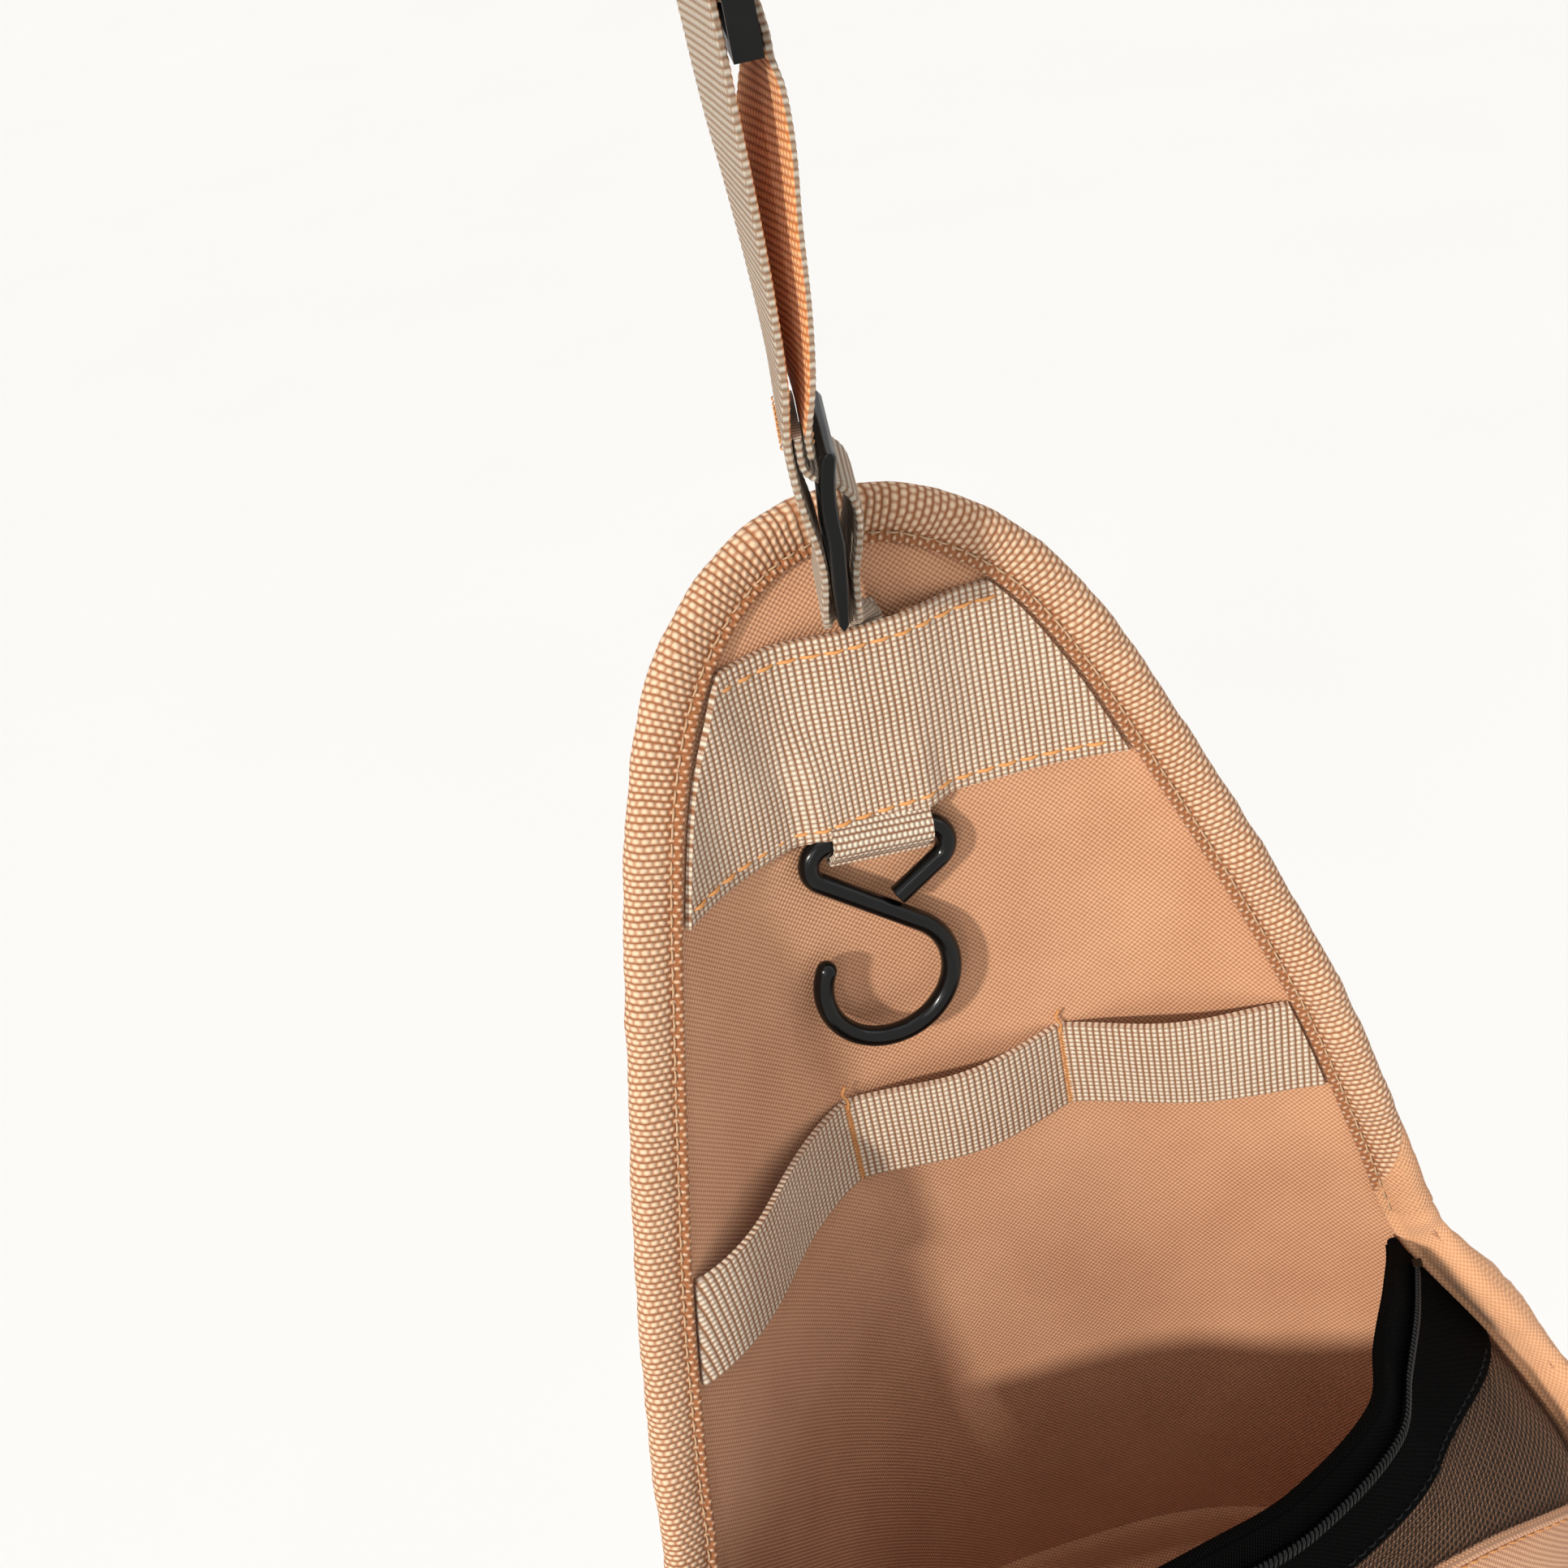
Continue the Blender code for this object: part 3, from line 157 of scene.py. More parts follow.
LOCK_WAVE = 0.9 * MM
LOCK_ROUND = 1.2  # length of the rounding at each end
BUCKLE_X = -5.9 * MM
BUCKLE_T = 7.4 * MM
BUCKLE_TURN = 17
MALE_T = 5.4 * MM
MALE_Z = 177 * MM
FEMALE_TOP_Z = 232.5 * MM
CROSSPIECE = 3.6 * MM
BAR_T = 2.4 * MM
BAR_WINDOW = 12.6 * MM

# Fineness and small details of the cloth
PANEL_ROWS = 130
PANEL_COLUMNS = 70
BINDING_ROWS = 190
BINDING_COLUMNS = 44
LINING_SWELL = 0.8 * MM
RIB = 1.6 * MM  # pitch of the webbing's ribs
BAND_RIB = 0.14 * MM
BAND_WAVE = 0.3 * MM
BAND_EDGE = 0.12 * MM  # how much thinner the wide band is at its edges
OVER_TAB = 4.2 * MM  # how far the wide band stands off over what is sewn in behind it
OVER_STRAP = 5.2 * MM
TAB_RAMP = 9 * MM  # over which the wide band comes back to the panel beside them
STRAP_RAMP = 20 * MM
CREASE_S = -27 * MM
CREASE_H = 1.8 * MM
CREASE_SPREAD = 8 * MM
SLOT_SWAY = 0.0625  # how much further a slot stands out halfway up
STITCH_LENGTH = 3.0 * MM
STITCH_SPACE = 0.9 * MM
THREAD_R = 0.27 * MM
STITCH_RINGS = 5
STITCH_SIDES = 6
SEAM_DIP = 0.35 * MM
SEAM_AT = 3.2 * MM
SEAM_SPREAD = 1.3 * MM
PUCKER = 0.4 * MM
BAR_TACK_W = 1.5 * MM
BAR_TACK_PITCH = 1.0 * MM
TURNED_FOLDS = ((-150, -1.2, 6), (-168, 2.4, 7), (-186, -1.0, 8), (-205, 1.2, 10))  # height, reach, spread
WALL_COLUMNS = 260
NARROWEST_CUT = 10.2 * MM
TOOTH = 1.3 * MM  # pitch of the zip's teeth
TOOTH_WIRE = 0.42 * MM
TOOTH_SWING = 0.75 * MM  # how far the teeth reach in and out, and up and down
TOOTH_RISE = 1.9 * MM
CORD_R = 0.62 * MM
SAG = 0.5 * MM
TRAY_H = 15 * MM
TRAY_T = 0.5 * MM
FOLLOW = 0.004  # step at which a wall's direction is taken

# Camera fitted to the photograph, in the panel's frame: place, and its right and down directions
CAMERA_AT = (-142.2, -380.4, 265.2)
CAMERA_RIGHT = (0.895, -0.4057, -0.1857)
CAMERA_DOWN = (-0.3652, -0.4269, -0.8273)
CAMERA_PIXELS = 2614
IMAGE_PIXELS = 1932
SENSOR = 36.0
FLOOR_Z = -1.05
FLOOR_HALF = 30.0
WORLD_LIGHT = 0.54


# Curves and surfaces

def in_mm(points):
    return np.array(points, float) * MM


def share(value, low, high):
    """0 up to the low value, 1 from the high one."""
    return min(max((value - low) / (high - low), 0.0), 1.0)


def ease(x):
    """0 below 0 and 1 above 1, with a smooth rise between them."""
    x = share(x, 0, 1)
    return x * x * (3 - 2 * x)


def unit(vectors):
    return vectors / np.linalg.norm(vectors, axis=-1, keepdims=True)


def directions(line):
    """Direction along a line of points, at each of them."""
    return unit(np.gradient(line, axis=0))


def on_arc(x, y, wide, high, angles):
    """Points round a centre, at angles in degrees."""
    return [(x + wide * cos(radians(a)), y + high * sin(radians(a))) for a in angles]


def path_lengths(points):
    """Length along a line of points, at each of them."""
    return np.r_[0, np.cumsum(np.linalg.norm(np.diff(points, axis=0), axis=1))]


def along_path(distance, lengths, values):
    """Values at a distance along a path, where they are given at its lengths."""
    return np.array([np.interp(distance, lengths, column) for column in np.transpose(values)])


def smooth_curve(points, count):
    """Evenly spaced points on a smooth curve through the given ones."""
    given = np.array(points, float)
    knots = path_lengths(given)
    slopes = np.zeros_like(given)
    slopes[1:-1] = (given[2:] - given[:-2]) / (knots[2:] - knots[:-2])[:, None]
    slopes[0] = (given[1] - given[0]) / (knots[1] - knots[0])
    slopes[-1] = (given[-1] - given[-2]) / (knots[-1] - knots[-2])
    at = np.linspace(0, knots[-1], count)
    k = np.clip(np.searchsorted(knots, at, side="right") - 1, 0, len(knots) - 2)
    step = (knots[k + 1] - knots[k])[:, None]
    u = ((at - knots[k]) / (knots[k + 1] - knots[k]))[:, None]
    return (
        (2 * u**3 - 3 * u**2 + 1) * given[k]
        + (u**3 - 2 * u**2 + u) * step * slopes[k]
        + (3 * u**2 - 2 * u**3) * given[k + 1]
        + (u**3 - u**2) * step * slopes[k + 1]
    )


ARC = np.linspace(-200 * MM, 200 * MM, 801)
SLOPE = np.radians(np.interp(ARC / MM, *zip(*SECTION_BENDS)))
STEPS = np.stack([np.cos(SLOPE), np.sin(SLOPE)], axis=1)
SECTION = np.cumsum(np.r_[np.zeros((1, 2)), (STEPS[1:] + STEPS[:-1]) / 2 * np.diff(ARC)[:, None]], axis=0)
SECTION -= SECTION[len(ARC) // 2]
OUTLINE = smooth_curve(in_mm(BELL_OUTLINE), 400)


def half_width(z):
    """Half of the panel's width at a height."""
    return np.interp(z, OUTLINE[:, 0], OUTLINE[:, 1])


def forward(s):
    """Direction out of the panel's front."""
    a = np.interp(s, ARC, SLOPE)
    return np.array([sin(a), -cos(a), 0.0])


def across(s):
    """Direction across the panel, to its right."""
    a = np.interp(s, ARC, SLOPE)
    return np.array([cos(a), sin(a), 0.0])


def panel_point(s, z, offset=0.0):
    return np.array([*along_path(s, ARC, SECTION), z]) + offset * forward(s)


def edge_lean(s, z):
    """Angle by which the panel's edge leans forward."""
    heights, angles = zip(*(LEFT_LEAN if s < 0 else RIGHT_LEAN))
    return radians(np.interp(z / MM, heights, angles))


def edge_loop(rows, columns):
    """Loop of (s, z, grid index) round the panel: up the left, over the top, down the right."""
    line = smooth_curve(in_mm(BELL_OUTLINE), rows)
    top = rows - 1
    loop = [(-w, z, (i, 0)) for i, (z, w) in enumerate(line)]
    z, w = line[top]
    loop += [(-w + 2 * w * j / columns, z, (top, j)) for j in range(1, columns)]
    loop += [(line[i][1], line[i][0], (i, columns)) for i in range(top, -1, -1)]
    z, w = line[0]
    loop += [(-w + 2 * w * j / columns, z, (0, j)) for j in range(columns - 1, 0, -1)]
    return line, loop


def edge_frames(loop):
    """For each point of the loop: place, outward and upward unit vector, grid index."""
    flat = np.array([(s, z) for s, z, _ in loop])
    step = unit(np.roll(flat, -1, axis=0) - flat)
    frames = []
    for k, (s, z, index) in enumerate(loop):
        right, up = unit(step[k] + step[k - 1])
        out = right * UP - up * across(s)
        lean = edge_lean(s, z)
        outward = cos(lean) * out + sin(lean) * forward(s)
        upward = cos(lean) * forward(s) - sin(lean) * out
        frames.append((panel_point(s, z), outward, upward, index))
    return frames


def ripple(a, b, scale=1.0, seed=0.0):
    """Smooth unevenness of cloth, between about -1 and 1, from two lengths in metres."""
    a, b = a / scale, b / scale
    return (
        sin(61 * a + 17 * b + seed) + sin(-38 * a + 71 * b + 2.1 * seed)
        + sin(113 * a + 97 * b + 0.7 * seed) * 0.6 + sin(149 * a - 131 * b + 1.3 * seed) * 0.4
    ) / 3.0


# Meshes

def put(name, data):
    """New object in the scene that holds the data."""
    obj = bpy.data.objects.new(name, data)
    bpy.context.scene.collection.objects.link(obj)
    return obj


def add_piece(
    name, points, faces, material, uv=None, body="bag", slot="beige_webbing", origin=PANEL_AT, sharp=60,
):
    """Smooth-shaded mesh that rides on a body, from points measured from an origin."""
    mesh = bpy.data.meshes.new(name)
    mesh.from_pydata((np.asarray(points, float) + origin).tolist(), [], faces)
    if uv is not None:
        layer = mesh.uv_layers.new(name="UVMap")
        corners = np.zeros(len(mesh.loops), np.int32)
        mesh.loops.foreach_get("vertex_index", corners)
        layer.data.foreach_set("uv", np.asarray(uv, np.float32)[corners].ravel())
    mesh.materials.append(material)
    mesh.shade_smooth()
    mesh.set_sharp_from_angle(angle=radians(sharp))
    mesh.update()
    obj = put(name, mesh)
    if body:
        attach(obj, body)
    return obj


def grid_faces(rows, columns, looped=False):
    """Faces of a grid of points, whose rows close on themselves where looped."""
    faces = []
    for i in range(rows - 1):
        for j in range(columns if looped else columns - 1):
            m = (j + 1) % columns
            faces.append((i * columns + j, i * columns + m, (i + 1) * columns + m, (i + 1) * columns + j))
    return faces


def thicken(faces, count):
    """Faces of a closed body, from those of its front and as many points again for its back."""
    edges = {edge for face in faces for edge in zip(face, face[1:] + face[:1])}
    walls = [(b, a, a + count, b + count) for a, b in sorted(edges) if (b, a) not in edges]
    return faces + [tuple(v + count for v in reversed(face)) for face in faces] + walls


def pipe_faces(rings, sides, first=0):
    """Faces of a closed pipe, whose points start at the first one."""
    walls = [tuple(first + v for v in (b, a, d, c)) for a, b, c, d in grid_faces(rings, sides, looped=True)]
    last = first + (rings - 1) * sides
    return [*walls, tuple(range(first, first + sides)), tuple(range(last + sides - 1, last - 1, -1))]


def fix_normals(piece):
    """Turns the faces of a closed piece outwards."""
    work = bmesh.new()
    work.from_mesh(piece.data)
    bmesh.ops.recalc_face_normals(work, faces=work.faces)
    work.to_mesh(piece.data)
    work.free()
    return piece


def declare_cloth(piece, width, length, held, rests_on=()):
    """Clamps the size a piece was cut to at the narrowest cut; nothing is declared or kept."""
    width, length = max(width, NARROWEST_CUT), max(length, NARROWEST_CUT)


def shell(name, grid, material, held="stretched", rests_on=(), **more):
    """Closed cloth from a grid of (front point, back point, place in the weave in metres)."""
    front, back = (np.array([[cell[k] for cell in row] for row in grid]) for k in (0, 1))
    uv = [cell[2] for row in grid for cell in row]
    rows, columns = front.shape[:2]
    points = np.concatenate([front.reshape(-1, 3), back.reshape(-1, 3)])
    faces = thicken(grid_faces(rows, columns), rows * columns)
    piece = add_piece(name, points, faces, material, uv=uv + uv, **more)
    longest = [max(path_lengths(run)[-1] for run in runs) for runs in (front, front.transpose(1, 0, 2))]
    declare_cloth(piece, *map(float, longest), held, rests_on)
    return fix_normals(piece)


def tube(name, line, radius, material, sides=12, **more):
    """Closed round tube along a line of points, its radius one number or one for each point."""
    line = np.array(line)
    ahead = directions(line)
    radii = np.broadcast_to(radius, len(line))
    side = np.cross(ahead[0], UP if abs(ahead[0][2]) < 0.9 else (1, 0, 0))
    points, uv = [], []
    for place, along, thick, length in zip(line, ahead, radii, path_lengths(line)):
        side = unit(side - along * (side @ along))
        other = np.cross(along, side)
        for j in range(sides):
            a = 2 * pi * j / sides
            points.append(place + thick * (cos(a) * side + sin(a) * other))
            uv.append((length, thick * a))
    return fix_normals(add_piece(name, points, pipe_faces(len(line), sides), material, uv=uv, **more))


def stitches(name, path, lift, material, length=STITCH_LENGTH, space=STITCH_SPACE, radius=THREAD_R):
    """Row of thread stitches along a path of (point, outward normal); each one dives at its ends."""
    places = np.array([p for p, _ in path])
    normals = np.array([n for _, n in path])
    lengths = path_lengths(places)
    points, faces = [], []
    start = 0.5 * space
    while start + length < lengths[-1]:
        faces += pipe_faces(STITCH_RINGS, STITCH_SIDES, len(points))
        for k in range(STITCH_RINGS):
            t = k / (STITCH_RINGS - 1)
            here = along_path(start + length * t, lengths, places)
            normal = along_path(start + length * t, lengths, normals)
            before, after = (start + length * share(t + step, 0, 1) for step in (-0.1, 0.1))
            ahead = along_path(after, lengths, places) - along_path(before, lengths, places)
            side = np.cross(unit(ahead), normal)
            rise = lift + radius * (1.6 * sin(pi * t) - 0.7)
            thick = radius * (0.65 + 0.35 * sin(pi * t))
            for j in range(STITCH_SIDES):
                a = 2 * pi * j / STITCH_SIDES
                points.append(here + normal * (rise + thick * sin(a)) + side * thick * cos(a))
        start += length + space
    return add_piece(name, points, faces, material)


# Materials

BLACK = (0.001, 0.001, 0.001)


class Nodes:
    """Small helper that adds and links the shader nodes of a material or world."""

    def __init__(self, made, shader="Principled BSDF"):
        made.use_nodes = True
        self.made = made
        self.tree = made.node_tree
        self.shader = self.tree.nodes[shader]

    def feed(self, socket, value):
        """Links a socket to another one, or sets its value."""
        if isinstance(value, bpy.types.NodeSocket):
            self.tree.links.new(value, socket)
        elif value is not None:
            socket.default_value = (*value, 1) if socket.type == "RGBA" else value

    def set(self, **values):
        for key, value in values.items():
            self.feed(self.shader.inputs[key.replace("_", " ")], value)

    def add(self, kind, *inputs, **settings):
        node = self.tree.nodes.new(kind)
        for key, value in settings.items():
            setattr(node, key, value)
        for socket, value in zip(node.inputs, inputs):
            self.feed(socket, value)
        return node

    def math(self, operation, *values):
        return self.add("ShaderNodeMath", *values, operation=operation).outputs[0]

    def scaled(self, value, factor, plus):
        return self.math("MULTIPLY_ADD", value, factor, plus)

    def clamp(self, value):
        return self.add("ShaderNodeClamp", value).outputs[0]

    def uv(self):
        split = self.add("ShaderNodeSeparateXYZ", self.add("ShaderNodeUVMap").outputs["UV"])
        return split.outputs[0], split.outputs[1]

    def noise(self, scale, detail):
        place = self.add("ShaderNodeTexCoord").outputs["Object"]
        return self.add("ShaderNodeTexNoise", place, None, scale, detail).outputs["Fac"]

    def mix(self, amount, low, high):
        """Blend of two colours."""
        return self.add("ShaderNodeMix", amount, *[None] * 5, low, high, data_type="RGBA").outputs[2]

    def dots(self, u, v, turn):
        """-1 to 1 in staggered rows, from two lengths and the angle that they turn by in a metre."""
        return self.math("MULTIPLY", *(self.math("COSINE", self.math("MULTIPLY", x, turn)) for x in (u, v)))

    def humps(self, coordinate, pitch, shift=0.0):
        """0 to 1 and back once per pitch."""
        return self.scaled(self.math("COSINE", self.scaled(coordinate, 2 * pi / pitch, shift)), 0.5, 0.5)

    def bump(self, height, strength, distance):
        node = self.add("ShaderNodeBump", strength, distance)
        self.feed(node.inputs["Height"], height)
        self.set(Normal=node.outputs["Normal"])


def plain_weave(n, u, v, dark, light, pitch=1.4 * MM):
    """Colour and height of cloth: staggered raised dots of thread with darker crossings between them."""
    weave = n.dots(u, v, 2 * pi / pitch)
    raised = n.scaled(n.noise(2200, 2), 0.3, n.scaled(weave, 0.5, 0.5))
    tone = n.scaled(n.noise(30, 4), 0.5, n.scaled(raised, 0.85, -0.3))
    return n.mix(n.clamp(tone), dark, light), raised


def oxford(name, dark, light):
    n = Nodes(bpy.data.materials.new(name))
    colour, raised = plain_weave(n, *n.uv(), dark, light)
    n.set(Base_Color=colour, Roughness=0.82, Sheen_Weight=0.15, Sheen_Roughness=0.5, Specular_IOR_Level=0.2)
    n.bump(raised, 0.7, 0.35 * MM)
    return n.made


def webbing(
    name, gap, thread, rib=1.5 * MM, bead=2.1 * MM, gloss=0.2, sheen=0.1, stagger=True, wander=0.4 * MM,
    shade=None, turned=None, glow=0.0,
):
    """Ribbed webbing: rows of raised beads of pale yarn with darker gaps between them.

    wander is how far the rows stray, shade = (start, end) is a strip along the tape darkened with painted
    shade, where the tape dips into shadow, and turned = (dark, light) are the colours of the plain side that
    it turns to at its end.
    """
    n = Nodes(bpy.data.materials.new(name))
    u, v = n.uv()
    u = n.scaled(n.noise(90, 2), wander, u)
    v = n.scaled(n.noise(70, 2), 1.5 * wander, v)
    column = n.math("FLOOR", n.math("DIVIDE", u, rib))
    beads = n.humps(v, bead, n.math("MULTIPLY", column, pi if stagger else 2 * pi))
    along_rib = n.scaled(n.math("POWER", beads, 0.7), 0.7, 0.3)
    raised = n.math("MULTIPLY", n.math("POWER", n.humps(u, rib, pi), 0.5), along_rib)
    fuzz = n.noise(1800, 3)
    tone = n.scaled(fuzz, 0.5, n.scaled(raised, 1.45, -0.55))
    tone = n.scaled(n.noise(45, 3), 0.3, tone)
    # Painted shade: a darker strip along the tape where it dips into shadow.
    if shade:
        start, end = shade
        off_middle = n.math("ABSOLUTE", n.math("SUBTRACT", v, 0.5 * (start + end)))
        dark = n.clamp(n.scaled(off_middle, -2 / (end - start), 1.5))
        tone = n.math("SUBTRACT", tone, n.math("MULTIPLY", dark, 0.5))
    colour = n.mix(n.clamp(tone), gap, thread)
    height = n.scaled(fuzz, 0.18, raised)
    if turned:
        plain_from = n.scaled(v, 1.3, n.scaled(fuzz, 4 * MM, u))
        plain = n.clamp(n.math("DIVIDE", n.math("ADD", plain_from, 2 * MM), 3 * MM))
        plain_colour, plain_height = plain_weave(n, u, v, *turned)
        colour = n.mix(plain, colour, plain_colour)
        lowered = n.math("MULTIPLY", n.math("SUBTRACT", plain_height, height), plain)
        height = n.scaled(lowered, 0.8, height)
    n.set(
        Base_Color=colour, Roughness=0.78, Sheen_Weight=sheen, Sheen_Roughness=0.4, Specular_IOR_Level=gloss,
    )
    if glow:
        n.set(Subsurface_Weight=glow, Subsurface_Scale=2.5 * MM, Subsurface_Radius=(1.0, 0.38, 0.14))
    n.bump(height, 0.9, 0.6 * MM)
    return n.made


def moulded(name, colour, rough, gloss, grain=3360):
    """Injection-moulded plastic with a fine spark-eroded grain and faint scuffs."""
    n = Nodes(bpy.data.materials.new(name))
    scuff = n.noise(60, 5)
    n.set(
        Base_Color=n.mix(scuff, colour, tuple(c * 1.7 + 0.002 for c in colour)),
        Roughness=n.scaled(scuff, 0.22, rough - 0.1), Specular_IOR_Level=gloss,
    )
    n.bump(n.noise(grain, 2), 0.25, 0.04 * MM)
    return n.made


def coated_wire(name):
    """Smooth black coating with soft gloss."""
    n = Nodes(bpy.data.materials.new(name))
    mottle = n.noise(90, 4)
    n.set(
        Base_Color=n.mix(mottle, BLACK, (0.003, 0.003, 0.003)),
        Roughness=n.scaled(mottle, 0.16, 0.12), Specular_IOR_Level=0.25,
    )
    n.bump(n.noise(700, 3), 0.12, 0.03 * MM)
    return n.made


def open_mesh(name, pitch=1.5 * MM):
    """Knitted mesh: dark yarn round small see-through holes in staggered rows."""
    n = Nodes(bpy.data.materials.new(name))
    hole = n.math("ABSOLUTE", n.dots(*n.uv(), pi / pitch))
    cover = n.math("SUBTRACT", 1.0, n.clamp(n.math("MULTIPLY", n.math("SUBTRACT", hole, 0.12), 6.0)))
    n.set(
        Base_Color=n.mix(n.noise(1200, 2), (0.006, 0.004, 0.003), (0.030, 0.019, 0.012)), Roughness=0.8,
        Alpha=n.scaled(cover, 0.9, 0.1), Specular_IOR_Level=0.15,
    )
    n.bump(cover, 0.5, 0.3 * MM)
    return n.made


def thread(name, colour):
    n = Nodes(bpy.data.materials.new(name))
    twist = n.noise(2600, 2)
    shadow = tuple(c * 0.6 for c in colour)
    n.set(Base_Color=n.mix(twist, shadow, colour), Roughness=0.7, Specular_IOR_Level=0.15)
    n.bump(twist, 0.5, 0.1 * MM)
    return n.made


def floor_material():
    n = Nodes(bpy.data.materials.new("pale_floor"))
    n.set(Base_Color=n.mix(n.noise(3, 2), (0.88, 0.88, 0.88), (0.90, 0.90, 0.89)), Roughness=0.8)
    return n.made


SMOOTH_TONES = ((0.54, 0.245, 0.115), (0.82, 0.455, 0.25))
TAN = oxford("tan_oxford_cloth", (0.33, 0.125, 0.055), (0.80, 0.455, 0.265))
TAN_BACK = oxford("tan_oxford_back", (0.34, 0.13, 0.055), (0.74, 0.41, 0.24))
TAN_SMOOTH = oxford("tan_smooth_side", *SMOOTH_TONES)
FINE = {"rib": RIB, "bead": 1.3 * MM}
RIBBED = webbing("ribbed_webbing", (0.27, 0.115, 0.05), (0.79, 0.67, 0.53), stagger=False, **FINE)
RIBBED_TAB = webbing("ribbed_tab", (0.24, 0.105, 0.05), (0.80, 0.70, 0.56), bead=1.3 * MM)
RIBBED_STRAP = webbing("ribbed_strap", (0.27, 0.16, 0.095), (0.51, 0.45, 0.365), glow=0.2, **FINE)
# Brighter orange copy of the strap webbing: painted light on the strands' inner faces, where light comes
# through and bounces between them.
STRAP_INSIDE_PAINTED_LIGHT = webbing("strap_inner_face_painted_light", (0.50, 0.17, 0.05), (0.95, 0.50, 0.24), glow=0.5, **FINE)
# Binding tape, with painted shade on the strip where it dips into shadow.
RIBBED_EDGE = webbing(
    "ribbed_binding", (0.33, 0.12, 0.045), (0.80, 0.565, 0.38), wander=1.6 * MM, shade=(2.2 * MM, 6.2 * MM),
    turned=SMOOTH_TONES,
)
RIBBED_PIPING = webbing("ribbed_piping", (0.31, 0.115, 0.045), (0.80, 0.60, 0.43))
BLACK_TAPE = webbing(
    "black_tape_weave", (0.0006, 0.0006, 0.0006), (0.004, 0.004, 0.004), rib=0.7 * MM, bead=0.9 * MM,
    gloss=0.02, sheen=0.0,
)
MESH = open_mesh("knitted_mesh")
BLACK_PLASTIC = moulded("satin_black_plastic", BLACK, rough=0.34, gloss=0.2)
BLACK_METAL = coated_wire("black_coated_wire")
TEETH = moulded("zip_coil_nylon", BLACK, rough=0.34, gloss=0.2, grain=1600)
THREAD = thread("orange_tan_thread", (0.80, 0.37, 0.13))
THREAD_PALE = thread("pale_tan_thread", (0.62, 0.40, 0.24))
THREAD_DARK = thread("black_thread", (0.006, 0.006, 0.007))
FLOOR = floor_material()


# Back panel and its bound edge

def panel_cloth(name, front_offset, thickness, material, puff, cad):
    """Cloth in the bell's outline, with a border that follows the leaning edge."""
    line, loop = edge_loop(PANEL_ROWS, PANEL_COLUMNS)
    width = PANEL_COLUMNS + 1
    base, normals, uv = [], [], []
    for z, w in line:
        for j in range(width):
            s = -w + 2 * w * j / PANEL_COLUMNS
            edge = 1 - abs(2 * j / PANEL_COLUMNS - 1)
            swell = puff * ease(edge * 6) * (0.5 + 0.5 * ripple(s, z, 1.4))
            base.append(panel_point(s, z, swell))
            normals.append(forward(s))
            uv.append((s, z))
    frames = edge_frames(loop)
    inner = [i * width + j for _, _, _, (i, j) in frames]
    start = len(base)
    for (place, outward, upward, _), k in zip(frames, inner):
        base.append(place + outward * (BINDING_REACH - GAP - BINDING_T))
        normals.append(upward)
        uv.append(uv[k])
    count = len(frames)
    border = [(inner[k], inner[(k + 1) % count], start + (k + 1) % count, start + k) for k in range(count)]
    faces = [face[::-1] for face in grid_faces(PANEL_ROWS, width) + border]
    base, normals = np.array(base), np.array(normals)
    points = np.concatenate([base + front_offset * normals, base + (front_offset - thickness) * normals])
    piece = add_piece(name, points, thicken(faces, len(base)), material, uv=uv + uv, slot="tan_oxford")
    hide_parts(*cad)
    return fix_normals(piece)


def binding_profile():
    """Closed section of the tape as (outward, upward): thick lip, rounded fold, and under the back."""
    back = -LINING_T - FOAM_T - COVER_T - 3 * GAP
    top, low = GAP + BINDING_T, back - BINDING_T
    middle, half = (top + low) / 2, (top - low) / 2
    inner = BINDING_REACH - BINDING_T
    lip = (
        (-0.2, -0.3), (0.3, 0.5), (1.0, 0.6), (1.8, 0.3), (2.5, -0.15), (3.3, 0.15),
        *((u, 0.35) for u in np.linspace(4.6, inner / MM - 2.6, 3)),
    )
    profile = [(0.0, GAP), *((u * MM, top + v * MM) for u, v in lip)]
    profile += on_arc(inner - 1.4 * MM, middle, 3.5 * MM, half + 0.2 * MM, np.linspace(80, -90, 12))
    profile += [(u, low) for u in np.linspace(inner - 2.2 * MM, BINDING_BACK_LIP, 3)]
    profile += [(BINDING_BACK_LIP, back), (inner, back), (inner, GAP)]
    return np.array(profile), middle


def binding_length(name, frames, material, puckers, folds=()):
    """One length of the folded tape along the panel's edge, with folds as (height, reach, spread)."""
    profile, middle = binding_profile()
    across_tape = path_lengths(profile)
    runs = path_lengths([frame[0] for frame in frames])
    length = float(runs[-1])
    points, uv = [], []
    for (place, outward, upward, _), run in zip(frames, runs):
        gather = puckers * PUCKER * (ripple(run, 0, 0.35) + ripple(run, 0.3, 0.11, 2.0))
        gather += sum(reach * exp(-(((place[2] - at) / spread) ** 2)) for at, reach, spread in folds)
        for (u, v), across_run in zip(profile, across_tape):
            show = ease((u - 1 * MM) / (5 * MM))
            lift = gather * (1.0 if v > middle else -0.6) * (u < profile[-1][0] or v > middle)
            dip = SEAM_DIP * exp(-(((u - SEAM_AT) / SEAM_SPREAD) ** 2)) if v > middle else 0.0
            points.append(place + outward * (u + 0.6 * gather * show) + upward * (v + lift * show - dip))
            uv.append((run - length, across_run))
    total, count = len(frames), len(profile)
    ends = [tuple(range(count)), tuple(range((total - 1) * count, total * count))]
    faces = grid_faces(total, count, looped=True) + ends
    piece = fix_normals(add_piece(name, points, faces, material, uv=uv))
    declare_cloth(piece, across_tape[-1] / 2, length, "folded", ["lining_cloth"])
    return piece


